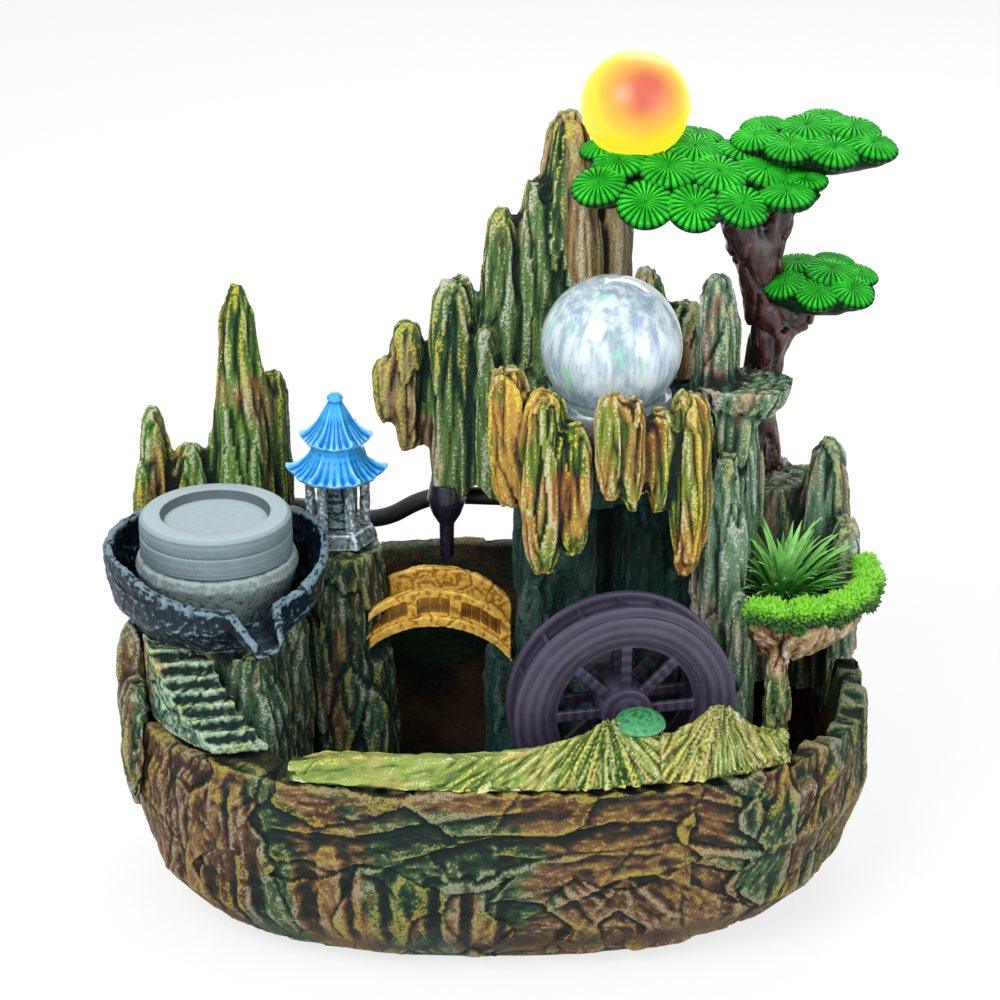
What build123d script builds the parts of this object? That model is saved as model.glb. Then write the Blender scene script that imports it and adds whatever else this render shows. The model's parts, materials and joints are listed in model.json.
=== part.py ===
"""Tabletop rockery water fountain, in millimetres.

A cast resin basin carries rock peaks, a mill bowl with a turning stone, a pagoda, a bridge, a water
wheel, a crystal ball that rolls in a fed cup, a pine with a lamp globe, and a planter. A submersible
pump, its hoses and a mist maker are inside. The origin is under the middle of the rim, on the surface
that the fountain stands on, +X is to the right, +Z is up and the front looks along -Y.
"""

import math
import os
from dataclasses import dataclass

from build123d import *

# Basin
BASIN_LENGTH = 326.0
BASIN_DEPTH = 220.0
BASIN_HEIGHT = 96.0
BASIN_WALL = 13.0
BASIN_STAIR_WALL = 33.0
BASIN_FLOOR = 14.0
RIM_SHARE = 0.985
BASIN_FOOT_SHIFT = 4.0
BASIN_SQUARENESS = 2.5
BASIN_SIDES = 40
LEDGE_SHELF = 9.0
LEDGE_NOSE = 2.0
RELIEF_ROOT = 6.0
REAR_WALL_RISE = 18.0
REAR_WALL_REACH = 62.0
CABLE_NOTCH_WIDTH = 9.0
CABLE_NOTCH_DEPTH = 8.0
CABLE_NOTCH_X = -62.0

# Stairs on the left wall
STAIR_COUNT = 9
STAIR_RISE = 4.0
STAIR_START_DEG = 193.0
STAIR_END_DEG = 225.0
STAIR_CURB = 7.0

# Gap left where a rock is shaped round another piece
SEAT_GAP = 0.2

# Mill bowl and its two stones
MILL_INSET_X = 42.0
MILL_INSET_Y = 95.0
MILL_BOWL_RADIUS = 48.0
MILL_BOWL_FOOT_RADIUS = 34.0
MILL_BOWL_DEPTH = 38.0
MILL_BOWL_WALL = 4.0
MILL_BOWL_FLOOR = 5.0
MILL_BOWL_RIM_RISE = 71.0
SPOUT_TURN_DEG = -65.0
SPOUT_REACH = 61.0
SPOUT_ROOT = 30.0
SPOUT_TOP_WIDTH = 40.0
SPOUT_LIP_WIDTH = 16.0
SPOUT_LIP_DROP = 22.0
SPOUT_ROOT_DEPTH = 26.0
SPOUT_LIP_HEIGHT = 8.0
SPOUT_FLOOR_SHARE = 0.55
SPOUT_WALL = 3.5
SPOUT_SLOPE_START = 12.0
STONE_RADIUS = 32.5
STONE_HEIGHT = 18.0
STONE_DISH_RADIUS = 23.5
STONE_DISH_DEPTH = 4.0
STONE_GROOVE_HEIGHT = 1.4
STONE_GROOVE_DEPTH = 1.0
STONE_GROOVE_AT = 9.6
LOWER_STONE_TOP_RADIUS = 35.0
LOWER_STONE_FOOT_RADIUS = 28.0
LOWER_STONE_HEIGHT = 27.0
VANE_COUNT = 12
VANE_HEIGHT = 3.0
VANE_THICKNESS = 2.0
VANE_INNER_RADIUS = 13.0
VANE_OUTER_RADIUS = 27.0
VANE_CLEARANCE = 1.0
MILL_PIN_RADIUS = 2.5
MILL_PIN_RISE = 12.0
MILL_PIN_SET = 10.0
MILL_JET_DROP = 20.0
MILL_JET_TURN_DEG = 80.0
MILL_JET_LENGTH = 20.0
MILL_JET_CENTRE_RADIUS = 46.0

# Running gaps
SHAFT_CLEARANCE = 0.06
RUNNING_GAP = 0.3

# Pagoda
PAGODA_FROM_MILL_X = 49.5
PAGODA_FROM_MILL_Y = 40.0
PAGODA_RISE = 53.0
PAGODA_SIDES = 6
PAGODA_PLINTH_RADIUS = 18.0
PAGODA_PLINTH_HEIGHT = 7.0
PAGODA_COLUMN_COUNT = 6
PAGODA_COLUMN_RADIUS = 2.4
PAGODA_COLUMN_RING = 12.0
PAGODA_COLUMN_HEIGHT = 24.0
PAGODA_CORE_RADIUS = 7.5
PAGODA_LOWER_EAVE = 23.0
PAGODA_LOWER_HEIGHT = 15.0
PAGODA_UPPER_EAVE = 16.5
PAGODA_UPPER_HEIGHT = 23.0

# Bridge
BRIDGE_X = -29.0
BRIDGE_FROM_BACK = 96.0
BRIDGE_SPAN = 68.0
BRIDGE_WIDTH = 28.0
BRIDGE_CAMBER = 17.0
BRIDGE_DECK = 5.0
BRIDGE_RISE = 4.0
RAIL_HEIGHT = 13.0
RAIL_THICKNESS = 4.0
RAIL_BAR = 4.0
RAIL_POST_WIDTH = 5.0
RAIL_POST_COUNT = 2
RAIL_POST_PITCH = 19.0

# Crystal ball, its cup and its jet
BALL_RADIUS = 30.0
BALL_X = 47.0
BALL_FROM_BACK = 105.0
BALL_RISE = 151.0
CUP_RADIUS = 26.0
CUP_FLOOR = 5.5
CUP_RIM_DROP = 21.0
JET_RADIUS = 3.5
JET_BORE_RADIUS = 1.5
JET_LENGTH = 12.0
BALL_ROOM = 1.5

# Water wheel
WHEEL_X = 51.0
WHEEL_FROM_FRONT = 57.0
WHEEL_RISE = 12.0
WHEEL_YAW_DEG = 12.0
WHEEL_RADIUS = 48.0
WHEEL_RING_INNER = 29.5
WHEEL_WIDTH = 18.0
WHEEL_RING_THICKNESS = 3.0
WHEEL_RIM_STEP = 4.0
WHEEL_RIM_PROUD = 1.2
WHEEL_PADDLE_COUNT = 16
WHEEL_PADDLE_THICKNESS = 2.0
WHEEL_PADDLE_INSET = 1.5
WHEEL_SPOKE_COUNT = 8
WHEEL_SPOKE_WIDTH = 4.5
WHEEL_HUB_RADIUS = 11.0
WHEEL_HUB_PROUD = 2.5
WHEEL_ROOM = 2.5
AXLE_RADIUS = 2.0
AXLE_REAR = 34.0
AXLE_FRONT = 37.0
BEARING_SIZE = 13.0
BEARING_LENGTH = 11.0
REAR_BRACKET_LENGTH = 40.0
BEARING_BELOW_AXLE = 13.0
BEARING_ABOVE_AXLE = 4.5
PUTTY_RADIUS = 11.0
PUTTY_HEIGHT = 7.0

# Pine
TRUNK_RADIUS = 10.0
FOLIAGE_THICKNESS = 8.0
FOLIAGE_LEAN_DEG = 11.0
ROSETTE_HEIGHT = 4.5
ROSETTE_SIDES = 12
UPPER_LEFT_RISE = 217.0
UPPER_RIGHT_RISE = 228.0
LOWER_PAD_RISE = 167.0

# Lamp globe on the pine
SUN_X = 57.0
SUN_FROM_BACK = 68.0
SUN_RADIUS = 23.0
SUN_SHELL = 1.6
SUN_SUNK = 2.5
SUN_BASE_RADIUS = 13.0
SUN_BASE_HEIGHT = 7.0
SUN_LED_RADIUS = 4.0
SUN_LED_HEIGHT = 6.0

# Planter
PLANTER_INSET_X = 40.0
PLANTER_FROM_BACK = 110.0
PLANTER_RADIUS = 39.0
PLANTER_FOOT_RADIUS = 21.0
PLANTER_DEPTH = 30.0
PLANTER_WALL = 6.0
PLANTER_SOIL_DEPTH = 17.0
PLANTER_LEFT_REACH = 19.0
PLANTER_LIP = 5.0
PLANTER_RISE = 45.0
MOSS_START_DEG = -118.0
MOSS_END_DEG = 18.0
MOSS_SEGMENTS = 12
MOSS_HEIGHT = 4.5
MOSS_OVERHANG = 3.0
GRASS_PLUG_RADIUS = 15.0
GRASS_PLUG_HEIGHT = 13.0
GRASS_BLADE_COUNT = 36
GRASS_BLADE_LENGTH = 34.0
GRASS_BLADE_WIDTH = 2.6
GRASS_SPREAD = 0.75

# Spout of the rear cascade
CASCADE_X = -24.0
CASCADE_FROM_BACK = 62.0
CASCADE_RISE = 70.0
CASCADE_BULB_RADIUS = 9.0
CASCADE_NECK_RADIUS = 3.4
CASCADE_BULB_HEIGHT = 20.0
CASCADE_NECK_LENGTH = 16.0

# Pump in its chamber behind the cliff
PUMP_OUTLET_X = 29.0
PUMP_FROM_BACK = 53.0
PUMP_SUCKER_HEIGHT = 4.0
PUMP_SUCKER_RADIUS = 5.0
PUMP_MOTOR_LENGTH = 30.0
PUMP_MOTOR_WIDTH = 30.0
PUMP_MOTOR_HEIGHT = 32.0
PUMP_VOLUTE_RADIUS = 14.0
PUMP_VOLUTE_LENGTH = 14.0
PUMP_VOLUTE_BORE = 12.0
PUMP_COVER_THICKNESS = 4.0
PUMP_COVER_SLOT_COUNT = 5
PUMP_COVER_SLOT_WIDTH = 1.6
PUMP_COVER_SLOT_LENGTH = 12.0
PUMP_COVER_SLOT_DROP = 3.0
PUMP_MAGNET_RADIUS = 7.5
PUMP_MAGNET_LENGTH = 20.0
PUMP_BLADE_COUNT = 6
PUMP_BLADE_RADIUS = 11.0
PUMP_BLADE_LENGTH = 7.0
PUMP_BLADE_THICKNESS = 1.6
PUMP_SHAFT_RADIUS = 1.2
PUMP_NIPPLE_RADIUS = 4.0
PUMP_NIPPLE_LENGTH = 10.0
KNOB_RADIUS = 4.5
KNOB_THICKNESS = 3.0
KNOB_STUB_RADIUS = 1.4
KNOB_OFFSET = 8.5
KNOB_TAB = 3.0
CHAMBER_FRONT = 78.0
CHAMBER_BACK = 26.0
CHAMBER_RIGHT = 74.0
CHAMBER_HEIGHT = 96.0

# Hoses
HOSE_RADIUS = 4.0
HOSE_BORE_RADIUS = 2.5
TEE_RADIUS = 5.5
TEE_HALF_LENGTH = 10.0
TEE_RISE = 59.0
HOSE_ROOM = 0.3
DUCT_SIZE = 24.0
DUCT_HEADROOM = 14.0

# Mist maker
MIST_X = -38.0
MIST_FROM_FRONT = 60.0
MIST_RADIUS = 19.0
MIST_HEIGHT = 20.0
MIST_WELL_RADIUS = 11.0
MIST_WELL_DEPTH = 6.0
MIST_DISC_RADIUS = 10.0
MIST_DISC_THICKNESS = 1.2
MIST_LENS_RADIUS = 15.0
MIST_LENS_INSET = 1.0
MIST_LENS_HEIGHT = 2.0
MIST_GUARD_RADIUS = 17.5
MIST_GUARD_HOLE = 9.0
MIST_GUARD_HEIGHT = 12.0
MIST_GUARD_WALL = 1.8
MIST_LEG_COUNT = 3
MIST_LEG_RADIUS = 1.5
MIST_LEG_RING = 17.0

# Anchors worked out from the sizes above
LEFT_X = -BASIN_LENGTH / 2
RIGHT_X = BASIN_LENGTH / 2
FRONT_Y = -BASIN_DEPTH / 2
BACK_Y = BASIN_DEPTH / 2
RIM_Z = BASIN_HEIGHT
CENTRE = Vector(0, BACK_Y - 110.0, RIM_Z)
RIGHT_SIDE = Vector(RIGHT_X, BACK_Y - 110.0, RIM_Z)
FRONT_RIM = Vector(0, FRONT_Y, RIM_Z)
MILL = Vector(LEFT_X + MILL_INSET_X, FRONT_Y + MILL_INSET_Y, RIM_Z)
MILL_RIM_Z = RIM_Z + MILL_BOWL_RIM_RISE
MILL_FOOT_Z = MILL_RIM_Z - MILL_BOWL_DEPTH
LOWER_STONE_Z = MILL_FOOT_Z + MILL_BOWL_FLOOR
STONE_Z = LOWER_STONE_Z + LOWER_STONE_HEIGHT + RUNNING_GAP
PAGODA = MILL + Vector(PAGODA_FROM_MILL_X, PAGODA_FROM_MILL_Y, 0)
BALL = Vector(BALL_X, BACK_Y - BALL_FROM_BACK, RIM_Z + BALL_RISE)
CUP_FLOOR_Z = BALL.Z - BALL_RADIUS - RUNNING_GAP - CUP_FLOOR
CUP_RIM_Z = BALL.Z - CUP_RIM_DROP
WHEEL = Vector(WHEEL_X, FRONT_Y + WHEEL_FROM_FRONT, RIM_Z + WHEEL_RISE)
WHEEL_YAW = math.radians(WHEEL_YAW_DEG)
WHEEL_FRAME = Plane(
    origin=WHEEL,
    x_dir=(math.cos(WHEEL_YAW), math.sin(WHEEL_YAW), 0),
    z_dir=(math.sin(WHEEL_YAW), -math.cos(WHEEL_YAW), 0),
)
SUN_SEAT_Z = RIM_Z + UPPER_LEFT_RISE + SUN_BASE_HEIGHT
SUN = Vector(SUN_X, BACK_Y - SUN_FROM_BACK, SUN_SEAT_Z - SUN_SUNK + SUN_RADIUS)
PLANTER = Vector(RIGHT_X - PLANTER_INSET_X, BACK_Y - PLANTER_FROM_BACK, RIM_Z + PLANTER_RISE)
PUMP_AXIS_Z = BASIN_FLOOR + PUMP_SUCKER_HEIGHT + PUMP_MOTOR_HEIGHT / 2
PUMP = Vector(PUMP_OUTLET_X, BACK_Y - PUMP_FROM_BACK, PUMP_AXIS_Z)
TEE = Vector(PUMP.X, PUMP.Y, RIM_Z + TEE_RISE)
MIST = Vector(MIST_X, FRONT_Y + MIST_FROM_FRONT, BASIN_FLOOR)

RISING = (Align.CENTER, Align.CENTER, Align.MIN)

# Size of a rock column along its height, as (share of height, share of width)
STANDING = ((0.0, 1.0), (0.60, 0.94), (0.84, 0.74), (0.95, 0.54), (1.0, 0.28))
TAPERED = ((0.0, 1.0), (0.45, 0.86), (0.75, 0.58), (0.93, 0.37), (1.0, 0.18))
PILLAR = ((0.0, 1.0), (0.72, 0.96), (0.92, 0.80), (1.0, 0.50))
HANGING = ((0.0, 0.36), (0.11, 0.68), (0.40, 1.0), (0.80, 0.96), (0.94, 0.74), (1.0, 0.44))
BLOCK = ((0.0, 1.0), (0.82, 1.0), (1.0, 0.86))
SHELF = ((0.0, 0.66), (0.5, 0.92), (1.0, 1.0))
BOULDER = ((0.0, 0.9), (0.35, 1.0), (0.75, 0.84), (1.0, 0.45))

# Outside of the basin as (share of height, share of plan, share of foot shift)
BULGE = ((0.0, 0.74, 1.0), (0.09, 0.85, 1.0), (0.28, 0.945, 0.6), (0.62, 1.0, 0.0), (1.0, RIM_SHARE, 0.0))

# Strata of the basin's front as (proud, line), the line in shares of half the length and of the height
LEDGES = (
    (3.0, ((-0.61, 0.75), (-0.37, 0.77), (-0.12, 0.88), (0.05, 0.92))),
    (3.2, ((-0.34, 0.59), (-0.18, 0.71), (0.0, 0.80), (0.15, 0.81), (0.28, 0.85), (0.49, 0.82))),
    (2.4, ((-0.02, 0.70), (0.15, 0.67), (0.25, 0.71), (0.38, 0.69))),
    (3.0, ((0.07, 0.34), (0.21, 0.48), (0.32, 0.59), (0.40, 0.58), (0.50, 0.48))),
    (2.2, ((0.48, 0.95), (0.62, 0.84))),
    (2.2, ((0.49, 0.86), (0.62, 0.75))),
    (2.2, ((0.50, 0.77), (0.63, 0.66))),
)

# Crest on the front rim as (place along the front, rise above the rim, depth from the front)
CREST = (
    (-88.0, 1.5, 20.0),
    (-72.0, 6.0, 26.0),
    (-40.0, 6.5, 27.0),
    (-10.0, 7.0, 28.0),
    (8.0, 10.0, 29.0),
    (30.0, 15.0, 32.0),
    (44.0, 20.0, 33.0),
    (57.0, 12.0, 33.0),
    (72.0, 13.0, 34.0),
    (88.0, 24.0, 36.0),
    (95.0, 22.0, 36.0),
    (106.0, 9.0, 34.0),
    (122.0, 3.0, 28.0),
)
CREST_ROOT = 36.0

# Upright ribs and slabs of the front as (share of half length, half width, top, foot, proud)
BUTTRESSES = (
    (-0.90, 5.0, 0.88, 0.12, 2.0),
    (-0.815, 6.0, 0.93, 0.14, 3.0),
    (-0.735, 4.5, 0.90, 0.12, 1.8),
    (-0.675, 4.5, 0.92, 0.14, 3.2),
    (-0.57, 10.0, 0.69, 0.12, 2.6),
    (-0.44, 8.0, 0.71, 0.12, 3.0),
    (-0.34, 7.0, 0.55, 0.12, 1.8),
    (-0.23, 10.0, 0.60, 0.12, 3.0),
    (-0.12, 6.0, 0.66, 0.12, 2.2),
    (-0.03, 8.0, 0.63, 0.12, 3.0),
    (0.69, 8.0, 0.94, 0.14, 2.2),
    (0.79, 8.0, 0.90, 0.14, 3.0),
    (0.88, 6.0, 0.91, 0.14, 2.2),
)

# Blades that fan out low on the front: where they start, then their ends with half widths and proud
FAN_START = (0.32, 0.57)
FAN_BLADES = ((0.20, 0.20, 4.5, 3.0), (0.31, 0.13, 4.5, 3.2), (0.41, 0.19, 4.5, 3.0), (0.48, 0.32, 4.0, 2.6))


@dataclass(frozen=True)
class Peak:
    """One fluted rock column: its place from an anchor, half sizes, and its heights from the rim."""

    x: float
    y: float
    half_x: float
    half_y: float
    foot: float
    tip: float
    shape: tuple = STANDING
    lean_x: float = 0.0
    lean_y: float = 0.0
    turn: float = 0.0
    sides: int = 10
    flute: float = 0.14


def flat_face(points):
    """A flat face through the points."""
    return Face(Wire.make_polygon(points, close=True))


def stacked(outline, layers):
    """A flat-faced solid through similar outlines; a layer is (x, y, z, size)."""
    rings = [[Vector(x + size * a, y + size * b, z) for a, b in outline] for x, y, z, size in layers]
    count = len(outline)
    faces = [flat_face(rings[0]), flat_face(rings[-1])]
    for low, high in zip(rings, rings[1:]):
        for i in range(count):
            j = (i + 1) % count
            faces.append(flat_face([low[i], low[j], high[j], high[i]]))
    return Solid(Shell(faces))


def ring_outline(half_x, half_y, sides, flute=0.0, turn=0.0):
    """Points round an ellipse, with every second one drawn in by the flute share."""
    points = []
    for i in range(sides):
        angle = math.radians(turn) + 2 * math.pi * i / sides
        reach = 1 - flute * (i % 2)
        points.append((half_x * reach * math.cos(angle), half_y * reach * math.sin(angle)))
    return points


def basin_point(angle, half_x, half_y):
    """The point of a squarish oval at an angle in radians."""
    power = 2 / BASIN_SQUARENESS
    c, s = math.cos(angle), math.sin(angle)
    return (
        math.copysign(half_x * abs(c) ** power, c),
        math.copysign(half_y * abs(s) ** power, s),
    )


def basin_outline(half_x, half_y):
    """The squarish oval of the basin as a polygon."""
    step = 2 * math.pi / BASIN_SIDES
    return [basin_point(step * (i + 0.5), half_x, half_y) for i in range(BASIN_SIDES)]


def column(anchor, peak):
    """The solid of one rock column."""
    outline = ring_outline(peak.half_x, peak.half_y, peak.sides, peak.flute, peak.turn)
    layers = []
    for share, size in peak.shape:
        layers.append(
            (
                anchor.X + peak.x + peak.lean_x * share,
                anchor.Y + peak.y + peak.lean_y * share,
                anchor.Z + peak.foot + (peak.tip - peak.foot) * share,
                size,
            )
        )
    return stacked(outline, layers)


def rocks(anchor, *peaks):
    """Rock columns grown together into one solid."""
    solids = [column(anchor, peak) for peak in peaks]
    return solids[0].fuse(*solids[1:]) if len(solids) > 1 else solids[0]


def main_piece(shape):
    """The largest solid of a shape."""
    return max(shape.solids(), key=lambda solid: solid.volume)


def carve(rock, *others):
    """The rock's main piece once the others are cut out of it."""
    for other in others:
        rock = rock - other
    return main_piece(rock)


def drum(radius, height, low=0.0):
    """An upright round bar that stands at a height."""
    return Pos(0, 0, low) * Cylinder(radius, height, align=RISING)


def round_bar(start, end, radius):
    """A round bar between two points."""
    direction = end - start
    return Plane(origin=start, z_dir=direction) * drum(radius, direction.length)


def turned(points):
    """A solid of revolution about Z from a closed outline of (radius, height) points."""
    outline = Wire.make_polygon([Vector(r, 0, z) for r, z in points], close=True)
    return revolve(Face(outline), Axis.Z)


def cavity_centre_x():
    """Middle of the pool, moved away from the thick stair wall."""
    return (BASIN_STAIR_WALL - BASIN_WALL) / 2


def cavity_half_x():
    """Half length of the pool at the rim."""
    return (BASIN_LENGTH - BASIN_STAIR_WALL - BASIN_WALL) / 2


def cavity_half_y():
    """Half depth of the pool at the rim."""
    return BASIN_DEPTH / 2 - BASIN_WALL


def wall_point(across, up, proud):
    """A point on the basin's front by shares of half the length and of the height, stood off the wall."""
    low, high = next(pair for pair in zip(BULGE, BULGE[1:]) if up <= pair[1][0])
    share = (up - low[0]) / (high[0] - low[0])
    size = low[1] + share * (high[1] - low[1])
    shift = low[2] + share * (high[2] - low[2])
    half_x = size * BASIN_LENGTH / 2
    half_y = size * BASIN_DEPTH / 2
    inward = (1 - abs(across) ** BASIN_SQUARENESS) ** (1 / BASIN_SQUARENESS)
    slope_x = math.copysign(abs(across) ** (BASIN_SQUARENESS - 1), across) / half_x
    slope_y = -(inward ** (BASIN_SQUARENESS - 1)) / half_y
    on_wall = Vector(across * half_x - BASIN_FOOT_SHIFT * shift, -inward * half_y, up * BASIN_HEIGHT)
    return on_wall + proud * Vector(slope_x, slope_y, 0).normalized()


def strip_solid(rings):
    """A solid with three-cornered faces through rows of points, one row per station."""
    count = len(rings[0])
    faces = []
    for ring in (rings[0], rings[-1]):
        faces += [flat_face([ring[0], ring[i], ring[i + 1]]) for i in range(1, count - 1)]
    for one, two in zip(rings, rings[1:]):
        for i in range(count):
            j = (i + 1) % count
            faces.append(flat_face([one[i], one[j], two[j]]))
            faces.append(flat_face([one[i], two[j], two[i]]))
    return Solid(Shell(faces))


def relief(stations):
    """A raised form on the basin's front; each station is a row of (across, up, proud) points."""
    rings = []
    for row in stations:
        roots = [wall_point(across, up, -RELIEF_ROOT) for across, up, _ in (row[-1], row[0])]
        rings.append([wall_point(*point) for point in row] + roots)
    return strip_solid(rings)


def ledge(proud, line):
    """One stratum's lip: a sloping shelf above the line and a short nose below it."""
    stations = []
    for k, (across, up) in enumerate(line):
        out = proud if 0 < k < len(line) - 1 else 0.6 * proud
        above = (across, min(up + LEDGE_SHELF / BASIN_HEIGHT, 0.995), -0.5)
        below = (across, up - LEDGE_NOSE / BASIN_HEIGHT, -0.5)
        stations.append([above, (across, up, out), below])
    return relief(stations)


def buttress(across, half, top, foot, proud):
    """One upright rib with a flat face and a sloping head."""
    reach = half / (BASIN_LENGTH / 2)
    stations = []
    rows = ((top, 0.55, 0.3), (top - 0.06, 1.0, 1.0), (foot + 0.16, 1.0, 1.0), (foot, 0.8, 0.3))
    for up, share, out in rows:
        left = [(across - reach * share, up, -0.5), (across - 0.6 * reach * share, up, out * proud)]
        right = [(across + 0.6 * reach * share, up, out * proud), (across + reach * share, up, -0.5)]
        stations.append(left + right)
    return relief(stations)


def fan_blade(across, up, half, proud):
    """One blade of the fan, from the fan's start to its own end."""
    reach = half / (BASIN_LENGTH / 2)
    stations = []
    for (x, z), spread, out in ((FAN_START, 0.3 * reach, 0.5 * proud), ((across, up), reach, proud)):
        stations.append([(x - spread, z, -0.5), (x, z, out), (x + spread, z, -0.5)])
    return relief(stations)


def make_basin():
    """The rock tub: a bulging outside with strata and ribs, the pool, a raised rear wall and a notch."""
    outside = basin_outline(BASIN_LENGTH / 2, BASIN_DEPTH / 2)
    layers = [(-BASIN_FOOT_SHIFT * off, 0, at * BASIN_HEIGHT, size) for at, size, off in BULGE]
    tub = stacked(outside, layers)
    rear = stacked(outside, [(0, 0, RIM_Z, RIM_SHARE), (0, 0, RIM_Z + REAR_WALL_RISE, RIM_SHARE - 0.03)])
    rear_box = Pos(0, BACK_Y, RIM_Z) * Box(2 * BASIN_LENGTH, 2 * REAR_WALL_REACH, 4 * REAR_WALL_RISE)
    forms = [ledge(*row) for row in LEDGES]
    forms += [buttress(*row) for row in BUTTRESSES]
    forms += [fan_blade(*row) for row in FAN_BLADES]
    pool = basin_outline(cavity_half_x(), cavity_half_y())
    depth = BASIN_HEIGHT - BASIN_FLOOR
    hollow = ((0.0, 0.80), (0.35, 0.95), (1.0, 1.0), (2.0, 1.0))
    x = cavity_centre_x()
    cavity = stacked(pool, [(x, 0, BASIN_FLOOR + share * depth, size) for share, size in hollow])
    notch = Pos(CABLE_NOTCH_X, BACK_Y, RIM_Z + REAR_WALL_RISE) * Box(
        CABLE_NOTCH_WIDTH, 4 * BASIN_WALL, 2 * CABLE_NOTCH_DEPTH
    )
    return carve(tub.fuse(rear & rear_box, *forms), cavity, notch)


def plan_prism():
    """The basin's plan carried straight up past the highest rock."""
    outside = basin_outline(BASIN_LENGTH / 2, BASIN_DEPTH / 2)
    return stacked(outside, [(0, 0, 0, RIM_SHARE), (0, 0, 4 * RIM_Z, RIM_SHARE)])


def skirt():
    """Everything outside the basin's plan below the rim, where no rock may hang."""
    block = Box(2 * BASIN_LENGTH, 2 * BASIN_DEPTH, RIM_Z, align=(Align.CENTER, Align.CENTER, Align.MIN))
    return block - plan_prism()


def make_stairs():
    """Steps on the thick left wall, from the mill rock down to the front corner."""
    outer_x = BASIN_LENGTH / 2 - STAIR_CURB
    outer_y = BASIN_DEPTH / 2 - STAIR_CURB
    turn = math.radians(STAIR_END_DEG - STAIR_START_DEG) / STAIR_COUNT
    steps = []
    for k in range(STAIR_COUNT):
        first = math.radians(STAIR_START_DEG) + k * turn
        corners = [basin_point(first + side * turn, outer_x, outer_y) for side in (0, 1)]
        for side in (1, 0):
            x, y = basin_point(first + side * turn, cavity_half_x(), cavity_half_y())
            corners.append((x + cavity_centre_x(), y))
        top = RIM_Z + STAIR_RISE * (STAIR_COUNT - k)
        steps.append(stacked(corners, [(0, 0, RIM_Z, 1.0), (0, 0, top, 1.0)]))
    return steps[0].fuse(*steps[1:])


def bowl_profile(grow):
    """Outside of the mill bowl as (radius, height) points, grown outwards by a gap."""
    waist = MILL_BOWL_FOOT_RADIUS + 0.78 * (MILL_BOWL_RADIUS - MILL_BOWL_FOOT_RADIUS)
    return [
        (MILL_BOWL_FOOT_RADIUS + grow, MILL_FOOT_Z - grow),
        (waist + grow, MILL_FOOT_Z + 0.36 * MILL_BOWL_DEPTH - grow),
        (MILL_BOWL_RADIUS + grow, MILL_FOOT_Z + 0.80 * MILL_BOWL_DEPTH),
        (MILL_BOWL_RADIUS + grow, MILL_RIM_Z),
    ]


def bowl_body(grow):
    """The mill bowl's outside as a full solid, spout left out."""
    sides = bowl_profile(grow)
    at_mill = Pos(MILL.X, MILL.Y, 0)
    return at_mill * turned([(0, sides[0][1]), *sides, (0, MILL_RIM_Z)])


def bowl_hollow():
    """The room inside the mill bowl."""
    foot, waist, shoulder, rim = bowl_profile(-MILL_BOWL_WALL)
    floor = MILL_FOOT_Z + MILL_BOWL_FLOOR
    at_mill = Pos(MILL.X, MILL.Y, 0)
    points = [(0, floor), (foot[0], floor), waist, shoulder, (rim[0], 2 * rim[1]), (0, 2 * rim[1])]
    return at_mill * turned(points)


def spout_section(x, width, floor, roof):
    """One section across the spout: wide at the top and narrow at the floor."""
    half = width / 2
    narrow = SPOUT_FLOOR_SHARE * half
    corners = [(-half, roof), (-narrow, floor), (narrow, floor), (half, roof)]
    return Wire.make_polygon([Vector(x, y, z) for y, z in corners], close=True)


def spout_block(reach, wall, lip_roof):
    """The spout between its root and its lip, drawn in by a wall; lip_roof is the lip's top from the rim."""
    frame = Pos(MILL.X, MILL.Y, 0) * Rot(0, 0, SPOUT_TURN_DEG)
    root_roof = max(0.0, lip_roof)
    root_floor = MILL_RIM_Z - SPOUT_ROOT_DEPTH + wall
    lip_floor = MILL_RIM_Z - SPOUT_LIP_DROP - SPOUT_LIP_HEIGHT + wall
    sections = [
        spout_section(SPOUT_ROOT, SPOUT_TOP_WIDTH - 2 * wall, root_floor, MILL_RIM_Z + root_roof),
        spout_section(reach, SPOUT_LIP_WIDTH - 2 * wall, lip_floor, MILL_RIM_Z + lip_roof),
    ]
    return frame * Solid.make_loft(sections, ruled=True)


def rim_slope():
    """What is cut off above the bowl's rim, which falls from beside the stones to the spout's lip."""
    fall = SPOUT_LIP_DROP / (SPOUT_REACH - SPOUT_SLOPE_START)
    far = 2 * SPOUT_REACH
    corners = [
        (SPOUT_SLOPE_START, MILL_RIM_Z),
        (far, MILL_RIM_Z - fall * (far - SPOUT_SLOPE_START)),
        (far, 2 * MILL_RIM_Z),
        (SPOUT_SLOPE_START, 2 * MILL_RIM_Z),
    ]
    side = Plane(origin=(0, 0, 0), x_dir=(1, 0, 0), z_dir=(0, -1, 0))
    wedge = side * extrude(make_face(Polyline(*corners, close=True)), far, both=True)
    return Pos(MILL.X, MILL.Y, 0) * Rot(0, 0, SPOUT_TURN_DEG) * wedge


def make_mill_bowl():
    """The bowl round the stones, with its pouring spout and the hole for the feed jet."""
    hollow = bowl_hollow()
    spout = spout_block(SPOUT_REACH, 0.0, -SPOUT_LIP_DROP) - hollow
    channel = spout_block(SPOUT_REACH + 2 * SPOUT_WALL, SPOUT_WALL, 2 * SPOUT_WALL)
    shell = bowl_body(0.0) - hollow
    start, end = mill_jet_ends()
    return carve(shell + main_piece(spout), channel, rim_slope(), round_bar(start, end, HOSE_RADIUS))


def mill_jet_ends():
    """Outer and inner end of the feed jet in the bowl's rear wall."""
    turn = math.radians(MILL_JET_TURN_DEG)
    x = MILL.X + MILL_JET_CENTRE_RADIUS * math.cos(turn)
    y = MILL.Y + MILL_JET_CENTRE_RADIUS * math.sin(turn)
    z = MILL_RIM_Z - MILL_JET_DROP
    half = MILL_JET_LENGTH / 2
    return Vector(x, y + half, z), Vector(x, y - half, z)


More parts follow.
